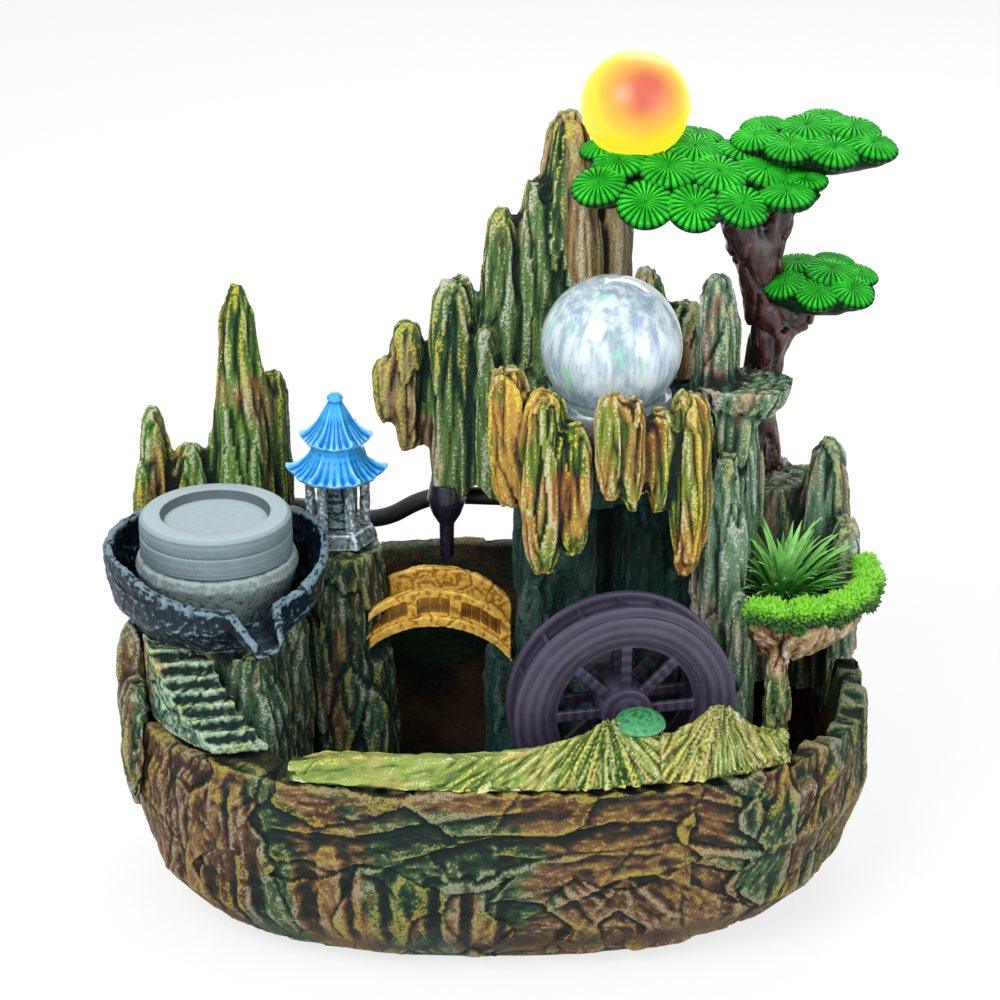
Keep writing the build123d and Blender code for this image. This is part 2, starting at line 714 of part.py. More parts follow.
def make_mill_jet():
    """The feed jet: a short tube through the bowl's rear wall."""
    start, end = mill_jet_ends()
    return round_bar(start, end, HOSE_RADIUS) - round_bar(start, end, HOSE_BORE_RADIUS)


def make_lower_stone():
    """The fixed stone: a tapered drum with a recess for the vanes and the pin's hole."""
    low, high = LOWER_STONE_Z, LOWER_STONE_Z + LOWER_STONE_HEIGHT
    recess = VANE_HEIGHT + VANE_CLEARANCE
    stone = turned(
        [
            (0, low),
            (LOWER_STONE_FOOT_RADIUS, low),
            (LOWER_STONE_TOP_RADIUS, high - 4.0),
            (LOWER_STONE_TOP_RADIUS - 1.5, high),
            (VANE_OUTER_RADIUS + VANE_CLEARANCE, high),
            (VANE_OUTER_RADIUS + VANE_CLEARANCE, high - recess),
            (VANE_INNER_RADIUS - VANE_CLEARANCE, high - recess),
            (VANE_INNER_RADIUS - VANE_CLEARANCE, high),
            (0, high),
        ]
    )
    pin = drum(MILL_PIN_RADIUS, 2 * MILL_PIN_SET, high - MILL_PIN_SET)
    return Pos(MILL.X, MILL.Y, 0) * (stone - pin)


def make_mill_pin():
    """The steel pin that the turning stone runs on."""
    low = LOWER_STONE_Z + LOWER_STONE_HEIGHT - MILL_PIN_SET
    return Pos(MILL.X, MILL.Y, 0) * drum(MILL_PIN_RADIUS, MILL_PIN_SET + MILL_PIN_RISE, low)


def make_upper_stone():
    """The turning stone: two tiers with a groove between, a dished top, and vanes under it."""
    low, high = STONE_Z, STONE_Z + STONE_HEIGHT
    groove = STONE_Z + STONE_GROOVE_AT
    hole = MILL_PIN_RADIUS + SHAFT_CLEARANCE
    hole_top = STONE_Z + MILL_PIN_RISE
    stone = turned(
        [
            (hole, low),
            (STONE_RADIUS - 0.8, low),
            (STONE_RADIUS, low + 0.8),
            (STONE_RADIUS, groove - STONE_GROOVE_HEIGHT / 2),
            (STONE_RADIUS - STONE_GROOVE_DEPTH, groove),
            (STONE_RADIUS, groove + STONE_GROOVE_HEIGHT / 2),
            (STONE_RADIUS, high - 2.0),
            (STONE_RADIUS - 2.0, high),
            (STONE_DISH_RADIUS, high),
            (STONE_DISH_RADIUS - 1.5, high - STONE_DISH_DEPTH),
            (0, high - STONE_DISH_DEPTH),
            (0, hole_top),
            (hole, hole_top),
        ]
    )
    vane_length = VANE_OUTER_RADIUS - VANE_INNER_RADIUS
    vane = Pos(VANE_INNER_RADIUS, 0, low - VANE_HEIGHT) * Box(
        vane_length, VANE_THICKNESS, VANE_HEIGHT + 1.0, align=(Align.MIN, Align.CENTER, Align.MIN)
    )
    vanes = [Rot(0, 0, 360 * k / VANE_COUNT) * vane for k in range(VANE_COUNT)]
    return Pos(MILL.X, MILL.Y, 0) * stone.fuse(*vanes)


def make_pagoda():
    """The pagoda's pieces from the rock up: plinth, columns round a core, and two flared roofs."""
    plinth_z = RIM_Z + PAGODA_RISE
    column_z = plinth_z + PAGODA_PLINTH_HEIGHT
    lower_z = column_z + PAGODA_COLUMN_HEIGHT
    upper_z = lower_z + PAGODA_LOWER_HEIGHT
    place = Pos(PAGODA.X, PAGODA.Y, 0)
    hexagon = ring_outline(1.0, 1.0, PAGODA_SIDES)

    def tiers(layers):
        return place * stacked(hexagon, [(0, 0, z, radius) for z, radius in layers])

    plinth = tiers(
        [
            (plinth_z, PAGODA_PLINTH_RADIUS),
            (plinth_z + 0.6 * PAGODA_PLINTH_HEIGHT, PAGODA_PLINTH_RADIUS - 1.0),
            (column_z, PAGODA_PLINTH_RADIUS - 2.5),
        ]
    )
    post = Pos(PAGODA_COLUMN_RING, 0, 0) * drum(PAGODA_COLUMN_RADIUS, PAGODA_COLUMN_HEIGHT, column_z)
    core = drum(PAGODA_CORE_RADIUS, PAGODA_COLUMN_HEIGHT, column_z)
    posts = [Rot(0, 0, 360 * k / PAGODA_COLUMN_COUNT) * post for k in range(PAGODA_COLUMN_COUNT)]
    columns = place * Compound(children=[core, *posts])
    lower = tiers(
        [
            (lower_z, PAGODA_LOWER_EAVE - 1.5),
            (lower_z + 1.8, PAGODA_LOWER_EAVE),
            (lower_z + 6.0, 0.66 * PAGODA_LOWER_EAVE),
            (lower_z + 12.0, 0.47 * PAGODA_LOWER_EAVE),
            (upper_z, 0.44 * PAGODA_LOWER_EAVE),
        ]
    )
    upper = tiers(
        [
            (upper_z, PAGODA_UPPER_EAVE - 1.2),
            (upper_z + 1.6, PAGODA_UPPER_EAVE),
            (upper_z + 6.5, 0.62 * PAGODA_UPPER_EAVE),
            (upper_z + 14.0, 0.34 * PAGODA_UPPER_EAVE),
            (upper_z + 0.80 * PAGODA_UPPER_HEIGHT, 0.19 * PAGODA_UPPER_EAVE),
            (upper_z + 0.88 * PAGODA_UPPER_HEIGHT, 0.22 * PAGODA_UPPER_EAVE),
            (upper_z + PAGODA_UPPER_HEIGHT, 0.12 * PAGODA_UPPER_EAVE),
        ]
    )
    return plinth, columns, lower, upper


def arch_band(low, high):
    """A flat arched band across the bridge's span, between two heights above the deck's underside."""
    foot = RIM_Z + BRIDGE_RISE
    half = BRIDGE_SPAN / 2
    edges = [
        ThreePointArc((-half, foot + low), (0, foot + low + BRIDGE_CAMBER), (half, foot + low)),
        Line((half, foot + low), (half, foot + high)),
        ThreePointArc((half, foot + high), (0, foot + high + BRIDGE_CAMBER), (-half, foot + high)),
        Line((-half, foot + high), (-half, foot + low)),
    ]
    return make_face(edges)


def make_bridge():
    """The arched deck, its open front railing and its closed rear parapet."""
    y = BACK_Y - BRIDGE_FROM_BACK
    upright = Plane(origin=(BRIDGE_X, y, 0), x_dir=(1, 0, 0), z_dir=(0, -1, 0))
    deck = upright * extrude(arch_band(0, BRIDGE_DECK), BRIDGE_WIDTH / 2, both=True)
    top = BRIDGE_DECK + RAIL_HEIGHT
    rail = arch_band(top - RAIL_BAR, top)
    full = arch_band(BRIDGE_DECK, top)
    for k in range(RAIL_POST_COUNT):
        x = (k - (RAIL_POST_COUNT - 1) / 2) * RAIL_POST_PITCH
        strip = Pos(x, RIM_Z + BRIDGE_RISE + BRIDGE_CAMBER) * Rectangle(RAIL_POST_WIDTH, 4 * RAIL_HEIGHT)
        rail = rail + (full & strip)
    half = BRIDGE_SPAN / 2
    for end in (-1, 1):
        strip = Pos(end * (half - RAIL_POST_WIDTH / 2), RIM_Z) * Rectangle(RAIL_POST_WIDTH, 8 * RAIL_HEIGHT)
        rail = rail + (full & strip)
    front = upright * (Pos(0, 0, BRIDGE_WIDTH / 2 - RAIL_THICKNESS) * extrude(rail, RAIL_THICKNESS))
    rear = upright * (Pos(0, 0, -BRIDGE_WIDTH / 2) * extrude(full, RAIL_THICKNESS))
    return deck, main_piece(front), main_piece(rear)


def make_ball():
    """The crystal ball."""
    return Pos(BALL) * Sphere(BALL_RADIUS)


def make_cup():
    """The dish that the ball rolls in, with a hole for the jet."""
    place = Pos(BALL.X, BALL.Y, CUP_FLOOR_Z)
    dish = place * drum(CUP_RADIUS, CUP_RIM_Z - CUP_FLOOR_Z)
    jet = place * Cylinder(JET_RADIUS, 4 * CUP_FLOOR)
    return carve(dish, Pos(BALL) * Sphere(BALL_RADIUS + RUNNING_GAP), jet)


def make_ball_jet():
    """The jet under the ball, pressed into the cup's floor."""
    high = CUP_FLOOR_Z + CUP_FLOOR
    start = Vector(BALL.X, BALL.Y, high - JET_LENGTH)
    end = Vector(BALL.X, BALL.Y, CUP_FLOOR_Z + CUP_FLOOR)
    return round_bar(start, end, JET_RADIUS) - round_bar(start, end, JET_BORE_RADIUS)


def wheel_room():
    """The room that the turning wheel sweeps, with clearance."""
    length = WHEEL_WIDTH + 2 * (WHEEL_HUB_PROUD + WHEEL_ROOM)
    return WHEEL_FRAME * Cylinder(WHEEL_RADIUS + WHEEL_ROOM, length)


def wheel_ring(side):
    """One stepped side ring of the wheel with its spokes; side is 1 at the front and -1 at the rear."""
    thickness = WHEEL_RING_THICKNESS
    low = WHEEL_WIDTH / 2 - thickness
    ring = Cylinder(WHEEL_RADIUS, thickness) - Cylinder(WHEEL_RING_INNER, 2 * thickness)
    proud = Cylinder(WHEEL_RADIUS - WHEEL_RIM_STEP, thickness + 2 * WHEEL_RIM_PROUD)
    proud = proud - Cylinder(WHEEL_RING_INNER + WHEEL_RIM_STEP, 3 * thickness)
    proud = proud & (Pos(0, 0, thickness) * Cylinder(WHEEL_RADIUS, 2 * thickness))
    length = WHEEL_RING_INNER - WHEEL_HUB_RADIUS + 2.0
    spoke = Pos(WHEEL_HUB_RADIUS - 1.0, 0, 0) * Box(
        length, WHEEL_SPOKE_WIDTH, thickness, align=(Align.MIN, Align.CENTER, Align.CENTER)
    )
    spokes = [Rot(0, 0, 360 * k / WHEEL_SPOKE_COUNT) * spoke for k in range(WHEEL_SPOKE_COUNT)]
    plate = ring.fuse(proud, *spokes) - Cylinder(WHEEL_HUB_RADIUS, 4 * thickness)
    turn = Rot(0, 0, 0) if side > 0 else Rot(180, 0, 0)
    return WHEEL_FRAME * (turn * (Pos(0, 0, low + thickness / 2) * plate))


def make_wheel():
    """The wheel's pieces: two side rings, the paddles on their drum between them, the hub and the axle."""
    gap = WHEEL_WIDTH - 2 * WHEEL_RING_THICKNESS
    inner = WHEEL_RING_INNER + WHEEL_PADDLE_INSET
    outer = WHEEL_RADIUS - WHEEL_PADDLE_INSET
    sole = Cylinder(inner + WHEEL_PADDLE_THICKNESS, gap) - Cylinder(inner, 2 * gap)
    root = inner + WHEEL_PADDLE_THICKNESS / 2
    paddle = Pos((root + outer) / 2, 0, 0) * Box(outer - root, WHEEL_PADDLE_THICKNESS, gap)
    paddles = [Rot(0, 0, 360 * k / WHEEL_PADDLE_COUNT) * paddle for k in range(WHEEL_PADDLE_COUNT)]
    hub = Cylinder(WHEEL_HUB_RADIUS, WHEEL_WIDTH + 2 * WHEEL_HUB_PROUD)
    hub = hub - Cylinder(AXLE_RADIUS, 4 * WHEEL_WIDTH)
    axle = Pos(0, 0, (AXLE_FRONT - AXLE_REAR) / 2) * Cylinder(AXLE_RADIUS, AXLE_FRONT + AXLE_REAR)
    return (
        wheel_ring(1),
        wheel_ring(-1),
        WHEEL_FRAME * sole.fuse(*paddles),
        WHEEL_FRAME * hub,
        WHEEL_FRAME * axle,
    )


def rear_bracket_block():
    """The arm that carries the rear bearing, before the cliff is cut from it."""
    near = AXLE_REAR - BEARING_LENGTH
    block = Box(BEARING_SIZE, 2 * BEARING_ABOVE_AXLE + BEARING_SIZE / 2, REAR_BRACKET_LENGTH)
    return WHEEL_FRAME * (Pos(0, 0, -near - REAR_BRACKET_LENGTH / 2) * block)


def axle_bore():
    """The running hole for the axle, a little longer than the axle itself."""
    length = AXLE_FRONT + AXLE_REAR + 4.0
    return WHEEL_FRAME * (
        Pos(0, 0, (AXLE_FRONT - AXLE_REAR) / 2) * Cylinder(AXLE_RADIUS + SHAFT_CLEARANCE, length)
    )


def front_bearing_block():
    """The front bearing before it is bored."""
    height = BEARING_BELOW_AXLE + BEARING_ABOVE_AXLE
    middle = (BEARING_ABOVE_AXLE - BEARING_BELOW_AXLE) / 2
    return WHEEL_FRAME * (
        Pos(0, middle, AXLE_FRONT - BEARING_LENGTH / 2) * Box(BEARING_SIZE, height, BEARING_LENGTH)
    )


def make_putty():
    """The green putty dome that holds the front bearing down."""
    rim = 0.86 * PUTTY_RADIUS
    dome = turned(
        [
            (0, 0),
            (rim, 0),
            (PUTTY_RADIUS, 0.25 * PUTTY_HEIGHT),
            (0.85 * PUTTY_RADIUS, 0.62 * PUTTY_HEIGHT),
            (0.5 * PUTTY_RADIUS, 0.92 * PUTTY_HEIGHT),
            (0, PUTTY_HEIGHT),
        ]
    )
    place = WHEEL_FRAME.from_local_coords(Vector(0, BEARING_ABOVE_AXLE, AXLE_FRONT - BEARING_LENGTH / 2))
    return Pos(place) * dome


def make_mill_rock():
    """The rock that the mill bowl nests in, with flakes on the outer left side."""
    return rocks(
        MILL,
        Peak(x=0, y=10, half_x=40, half_y=44, foot=-50, tip=42, shape=BLOCK, sides=14, flute=0.10),
        Peak(x=-36, y=-6, half_x=10, half_y=17, foot=-38, tip=36, shape=HANGING),
        Peak(x=-34, y=-29, half_x=10, half_y=14, foot=-42, tip=18, shape=HANGING, turn=10),
        Peak(x=14, y=-26, half_x=24, half_y=16, foot=-70, tip=30, shape=BOULDER, turn=12),
    )


def make_left_mountain():
    """The tall peak behind the mill bowl and the small ones beside it."""
    return rocks(
        MILL,
        Peak(x=6, y=66, half_x=23, half_y=17, foot=-40, tip=164, shape=TAPERED, lean_y=-3, sides=12),
        Peak(x=20, y=72, half_x=10, half_y=12, foot=-40, tip=120, shape=PILLAR, turn=20),
        Peak(x=-32, y=60, half_x=11, half_y=13, foot=-40, tip=107, lean_x=-1, turn=15),
        Peak(x=-17, y=62, half_x=14, half_y=14, foot=-40, tip=90, turn=30),
        Peak(x=-37, y=54, half_x=9, half_y=11, foot=-10, tip=84, turn=22),
    )


def make_pagoda_rock():
    """The rock under the pagoda and the bridge's left abutment."""
    return rocks(
        PAGODA,
        Peak(x=2, y=-4, half_x=22, half_y=25, foot=-82, tip=PAGODA_RISE, shape=BLOCK, sides=12, flute=0.08),
        Peak(x=14, y=-11, half_x=14, half_y=18, foot=-82, tip=BRIDGE_RISE, shape=BLOCK, turn=18),
    )


def make_cliff():
    """The wall behind the wheel, the shelf under the ball and the bridge's right abutment."""
    return rocks(
        CENTRE,
        Peak(x=30, y=52, half_x=26, half_y=52, foot=-82, tip=112, shape=BLOCK, sides=12),
        Peak(x=64, y=54, half_x=30, half_y=52, foot=-82, tip=117, shape=BLOCK, turn=12, sides=12),
        Peak(x=92, y=54, half_x=22, half_y=46, foot=-82, tip=104, shape=BLOCK, turn=24, sides=12),
        Peak(x=47, y=4, half_x=46, half_y=34, foot=84, tip=121, shape=SHELF, sides=14, flute=0.06),
        Peak(x=6, y=14, half_x=15, half_y=18, foot=-82, tip=BRIDGE_RISE, shape=BLOCK, turn=18),
        Peak(x=15, y=4, half_x=11, half_y=12, foot=-82, tip=44, shape=PILLAR, turn=8),
    )


def make_main_mountain():
    """The tall cluster behind the ball, with the hanging flakes on its left."""
    return rocks(
        CENTRE,
        Peak(x=18, y=68, half_x=52, half_y=30, foot=72, tip=128, shape=BLOCK, sides=14),
        Peak(x=30, y=60, half_x=18, half_y=17, foot=84, tip=238, lean_x=-1, sides=12),
        Peak(x=15, y=54, half_x=9, half_y=11, foot=84, tip=209, shape=PILLAR, turn=14),
        Peak(x=49, y=74, half_x=11, half_y=14, foot=84, tip=212, shape=PILLAR, turn=9),
        Peak(x=1, y=55, half_x=13, half_y=13, foot=70, tip=197, turn=5),
        Peak(x=-20, y=53, half_x=13, half_y=13, foot=62, tip=165, shape=PILLAR, turn=11),
        Peak(x=-6, y=45, half_x=9, half_y=10, foot=64, tip=147, turn=21),
        Peak(x=-41, y=55, half_x=9.5, half_y=9, foot=82, tip=144, shape=HANGING, turn=7),
        Peak(x=-51, y=54, half_x=6.5, half_y=7, foot=96, tip=127, shape=HANGING, turn=16),
        Peak(x=-33, y=62, half_x=14, half_y=9, foot=84, tip=130, shape=BOULDER),
        Peak(x=66, y=66, half_x=12, half_y=13, foot=84, tip=166, turn=3),
        Peak(x=82, y=62, half_x=11, half_y=13, foot=84, tip=152, shape=PILLAR, turn=19),
    )


def make_left_ribs():
    """The hanging ribs in front of the ball's left side."""
    return rocks(
        CENTRE,
        Peak(x=4, y=-24, half_x=11, half_y=12, foot=90, tip=153, shape=HANGING, turn=4),
        Peak(x=18, y=-31, half_x=11.5, half_y=12, foot=62, tip=144, shape=HANGING, turn=12),
        Peak(x=31, y=-30, half_x=9.5, half_y=10, foot=70, tip=131, shape=HANGING, turn=23),
    )


def make_right_ribs():
    """The hanging ribs in front of the ball's middle and right side."""
    return rocks(
        CENTRE,
        Peak(x=46, y=-37, half_x=8.5, half_y=9, foot=98, tip=146, shape=HANGING, turn=6),
        Peak(x=55, y=-35, half_x=7.5, half_y=9, foot=92, tip=143, shape=HANGING, turn=14),
        Peak(x=66, y=-29, half_x=8.5, half_y=9, foot=88, tip=136, shape=HANGING, turn=22),
        Peak(x=79, y=-24, half_x=11, half_y=13, foot=58, tip=141, shape=HANGING, turn=2),
    )


def make_right_pillar():
    """The pillar right of the ball with its ledge, peak and front slabs, and the stool of the pine."""
    return rocks(
        CENTRE,
        Peak(x=99, y=16, half_x=17, half_y=28, foot=-82, tip=122, shape=BLOCK, sides=12),
        Peak(x=103, y=10, half_x=25, half_y=21, foot=117, tip=134, shape=SHELF, turn=15, flute=0.08),
        Peak(x=92, y=14, half_x=13, half_y=11, foot=118, tip=182, lean_x=-1, turn=10),
        Peak(x=95, y=-13, half_x=14, half_y=9, foot=-20, tip=109, shape=PILLAR, turn=17),
        Peak(x=104, y=-22, half_x=8.5, half_y=8, foot=-10, tip=48, shape=PILLAR, turn=5),
        Peak(x=116, y=47, half_x=15, half_y=17, foot=-20, tip=82, shape=BLOCK, turn=13),
    )


def make_right_rock():
    """The far right peak and the rock behind the planter."""
    return rocks(
        RIGHT_SIDE,
        Peak(x=-19, y=36, half_x=16, half_y=15, foot=-24, tip=96, turn=8),
        Peak(x=-39, y=54, half_x=26, half_y=24, foot=-24, tip=72, shape=BLOCK, turn=18),
        Peak(x=-11, y=20, half_x=9, half_y=14, foot=-30, tip=64, shape=PILLAR, turn=12),
    )


def make_rim_rocks():
    """The crest along the front rim, low on the left and with two peaks beside the wheel's bearing."""
    rings = []
    for x, rise, back in CREST:
        front = FRONT_Y * (1 - abs(2 * x / BASIN_LENGTH) ** BASIN_SQUARENESS) ** (1 / BASIN_SQUARENESS)
        top = front + 0.62 * back
        section = [
            (front, -CREST_ROOT),
            (front, 0.0),
            (front + 0.28 * back, 0.50 * rise),
            (top, rise),
            (front + back, 0.55 * rise),
            (front + back, -CREST_ROOT),
        ]
        rings.append([Vector(x, y, RIM_Z + z) for y, z in section])
    return strip_solid(rings)


def planter_profile():
    """Outside of the planter as (radius, height) points."""
    low = PLANTER.Z - PLANTER_DEPTH
    belly = PLANTER_FOOT_RADIUS + 0.72 * (PLANTER_RADIUS - PLANTER_FOOT_RADIUS)
    return [
        (PLANTER_FOOT_RADIUS, low),
        (belly, low + 0.42 * PLANTER_DEPTH),
        (PLANTER_RADIUS, low + 0.80 * PLANTER_DEPTH),
        (PLANTER_RADIUS, PLANTER.Z),
    ]


def make_planter():
    """The round rock trough on the right, and the worn post that carries its front."""
    sides = planter_profile()
    bowl = turned([(0, sides[0][1]), *sides, (0, PLANTER.Z)])
    soil = PLANTER.Z - PLANTER_SOIL_DEPTH
    inner = PLANTER_RADIUS - PLANTER_WALL
    bend = PLANTER.Z - PLANTER_LIP
    above = 2 * PLANTER.Z
    hollow = turned([(0, soil), (0.8 * inner, soil), (inner, bend), (inner, above), (0, above)])
    place = Pos(PLANTER.X, PLANTER.Y, 0)
    post = column(
        Vector(PLANTER.X, PLANTER.Y, RIM_Z),
        Peak(x=-3, y=-27, half_x=8, half_y=7, foot=-82, tip=PLANTER_RISE - 12, shape=PILLAR, turn=9),
    )
    left_end = Align.MAX, Align.CENTER, Align.CENTER
    beyond = Pos(-PLANTER_LEFT_REACH, 0, 0) * Box(BASIN_LENGTH, BASIN_LENGTH, 2 * above, align=left_end)
    return place * (bowl - hollow - beyond) + post


def make_moss():
    """The mossy band along the planter's front rim, as a run of flat-topped wedges."""
    step = (MOSS_END_DEG - MOSS_START_DEG) / MOSS_SEGMENTS
    inner = PLANTER_RADIUS - PLANTER_WALL
    outer = PLANTER_RADIUS + MOSS_OVERHANG
    wedges = []
    for k in range(MOSS_SEGMENTS):
        angles = [math.radians(MOSS_START_DEG + step * (k + side)) for side in (0, 1)]
        corners = [(inner * math.cos(a), inner * math.sin(a)) for a in angles]
        corners += [(outer * math.cos(a), outer * math.sin(a)) for a in reversed(angles)]
        top = PLANTER.Z + MOSS_HEIGHT * (0.8 + 0.3 * (k % 2))
        wedges.append(stacked(corners, [(PLANTER.X, PLANTER.Y, z, 1.0) for z in (PLANTER.Z, top)]))
    return wedges[0].fuse(*wedges[1:])


def make_grass():
    """The grass tuft: blades that fan out of a foam plug."""
    base = PLANTER.Z - PLANTER_SOIL_DEPTH
    plug_top = base + GRASS_PLUG_HEIGHT
    plug = Pos(PLANTER.X, PLANTER.Y, base) * drum(GRASS_PLUG_RADIUS, GRASS_PLUG_HEIGHT)
    half = GRASS_BLADE_WIDTH / 2
    square = [(half, 0), (0, half), (-half, 0), (0, -half)]
    golden = math.pi * (3 - math.sqrt(5))
    blades = []
    for k in range(GRASS_BLADE_COUNT):
        share = math.sqrt((k + 0.5) / GRASS_BLADE_COUNT)
        angle = k * golden
        root = 0.86 * GRASS_PLUG_RADIUS * share
        lean = GRASS_SPREAD * GRASS_BLADE_LENGTH * share * 0.8
        height = GRASS_BLADE_LENGTH * (1.0 - 0.35 * share)
        x, y = PLANTER.X + root * math.cos(angle), PLANTER.Y + root * math.sin(angle)
        tip_x, tip_y = x + lean * math.cos(angle), y + lean * math.sin(angle)
        layers = [(x, y, plug_top - 1.0, 1.0), (tip_x, tip_y, plug_top + height, 0.15)]
        blades.append(stacked(square, layers))
    return plug.fuse(*blades)


def branch(points, radii):
    """A tapering branch: cones from point to point with balls at the bends."""
    shapes = []
    for (a, b), (ra, rb) in zip(zip(points, points[1:]), zip(radii, radii[1:])):
        direction = b - a
        frame = Plane(origin=a, z_dir=direction)
        cone = Cone(ra, rb, direction.length, align=RISING)
        shapes.append(frame * cone)
    for point, radius in zip(points[1:-1], radii[1:-1]):
        shapes.append(Pos(point) * Sphere(radius * 1.01))
    return shapes


def make_trunk():
    """The pine's bent trunk with two forks under the upper pads and an arm to the lower pad."""
    place = CENTRE

    def at(x, y, rise):
        return place + Vector(x, y, rise)

    r = TRUNK_RADIUS
    stem = branch(
        [at(116, 47, 76), at(112, 45, 112), at(117, 42, 146), at(111, 40, 176)],
        [1.1 * r, 0.85 * r, 1.05 * r, r],
    )
    left = branch([at(111, 40, 176), at(101, 36, 198), at(96, 34, 216)], [r, 0.8 * r, 0.6 * r])
    right = branch([at(111, 40, 176), at(119, 41, 200), at(129, 45, 226)], [0.9 * r, 0.72 * r, 0.55 * r])
    arm = branch([at(117, 42, 146), at(132, 42, 150), at(138, 40, 166)], [0.8 * r, 0.62 * r, 0.48 * r])
    ball = Pos(at(111, 40, 176)) * Sphere(1.01 * r)
    shapes = [*stem, *left, *right, *arm, ball]
    return shapes[0].fuse(*shapes[1:])


def foliage(rise, outline, rosettes):
    """A pad that leans forward: a slab with low needle rosettes on top as (x, y, radius, lift)."""
    low = CENTRE.Z + rise - FOLIAGE_THICKNESS
    middle_x = sum(x for x, y in outline) / len(outline)
    middle_y = sum(y for x, y in outline) / len(outline)
    about = [(x - middle_x, y - middle_y) for x, y in outline]
    x, y = CENTRE.X + middle_x, CENTRE.Y + middle_y
    middle = low + 0.55 * FOLIAGE_THICKNESS
    slab = stacked(about, [(x, y, low, 0.80), (x, y, middle, 1.0), (x, y, CENTRE.Z + rise, 0.94)])
    heads = []
    for k, (rx, ry, radius, lift) in enumerate(rosettes):
        ring = ring_outline(radius, radius, ROSETTE_SIDES, 0.0, 11 * k)
        top = CENTRE.Z + rise + lift + ROSETTE_HEIGHT
        place = (CENTRE.X + rx, CENTRE.Y + ry)
        heads.append(
            stacked(
                ring,
                [
                    (*place, low + 0.3 * FOLIAGE_THICKNESS, 0.72),
                    (*place, top - 0.62 * ROSETTE_HEIGHT, 1.0),
                    (*place, top, 0.42),
                ],
            )
        )
    lean = Pos(x, y, low) * Rot(FOLIAGE_LEAN_DEG, 0, 0) * Pos(-x, -y, -low)
    return lean * slab.fuse(*heads)


def make_upper_left_pad():
    """The broad pad beside the tall peak that carries the lamp globe."""
    return foliage(
        UPPER_LEFT_RISE,
        [(33, 26), (58, 8), (92, 4), (128, 14), (138, 30), (118, 48), (82, 62), (48, 62)],
        [
            (45, 21, 11, 0.8),
            (66, 11, 11, -0.4),
            (86, 8, 12, 0.2),
            (106, 12, 10, -0.8),
            (124, 20, 10.5, -1.0),
            (76, 28, 11, 2.4),
            (98, 28, 11, 1.6),
            (116, 36, 11, 0.9),
            (88, 46, 12, 4.2),
            (66, 54, 11, 3.4),
        ],
    )


def make_upper_right_pad():
    """The small high pad at the right end of the pine's crown."""
    return foliage(
        UPPER_RIGHT_RISE,
        [(100, 48), (112, 32), (140, 26), (166, 36), (168, 50), (150, 62), (120, 64)],
        [
            (109, 48, 10, 0.9),
            (122, 38, 10.5, 0.0),
            (139, 35, 11, -0.6),
            (156, 40, 10.5, 0.2),
            (128, 54, 11, 1.5),
            (146, 52, 11.5, 1.0),
        ],
    )


def make_lower_pad():
    """The pad on the pine's right arm."""
    return foliage(
        LOWER_PAD_RISE,
        [(114, 34), (126, 22), (146, 22), (162, 34), (160, 48), (140, 56), (120, 52)],
        [
            (122, 34, 9, -0.6),
            (134, 27, 9, -0.2),
            (150, 31, 9.5, 0.3),
            (138, 42, 11, 1.8),
            (153, 45, 8, 0.7),
            (124, 46, 8.5, 0.4),
        ],
    )


def make_sun():
    """The lamp globe, the base it stands on and the light inside."""
    place = Pos(SUN.X, SUN.Y, SUN_SEAT_Z)
    base = place * drum(SUN_BASE_RADIUS, SUN_BASE_HEIGHT, -SUN_BASE_HEIGHT)
    led = turned(
        [
            (0, 0),
            (SUN_LED_RADIUS, 0),
            (SUN_LED_RADIUS, 0.6 * SUN_LED_HEIGHT),
            (0.6 * SUN_LED_RADIUS, 0.95 * SUN_LED_HEIGHT),
            (0, SUN_LED_HEIGHT),
        ]
    )
    below = place * drum(2 * SUN_RADIUS, 2 * SUN_RADIUS, -2 * SUN_RADIUS)
    globe = carve(Pos(SUN) * Sphere(SUN_RADIUS), Pos(SUN) * Sphere(SUN_RADIUS - SUN_SHELL), below)
    return globe, base, place * led


def make_cascade():
    """The dark spout under the hanging rock, with its neck."""
    top = CENTRE.Z + CASCADE_RISE
    low = top - CASCADE_BULB_HEIGHT
    shape = turned(
        [
            (0, top),
            (0.8 * CASCADE_BULB_RADIUS, top),
            (CASCADE_BULB_RADIUS, top - 0.4 * CASCADE_BULB_HEIGHT),
            (0.72 * CASCADE_BULB_RADIUS, top - 0.75 * CASCADE_BULB_HEIGHT),
            (CASCADE_NECK_RADIUS, low),
            (0.9 * CASCADE_NECK_RADIUS, low - CASCADE_NECK_LENGTH),
            (0, low - CASCADE_NECK_LENGTH),
        ]
    )
    return Pos(CASCADE_X, BACK_Y - CASCADE_FROM_BACK, 0) * shape


def pump_frame():
    """Where the pump lies: its axis along X, at the middle of the outlet."""
    return Pos(PUMP.X, PUMP.Y, PUMP.Z)


def along_x(radius, start, end):
    """A round bar along X between two places on the pump's axis."""
    return Pos(start, 0, 0) * Rot(0, 90, 0) * drum(radius, end - start)


def pump_places():
    """Ends of the pump's stages along X, from the outlet's middle."""
    half = PUMP_VOLUTE_LENGTH / 2
    return -half - PUMP_COVER_THICKNESS, -half, half, half + PUMP_MOTOR_LENGTH


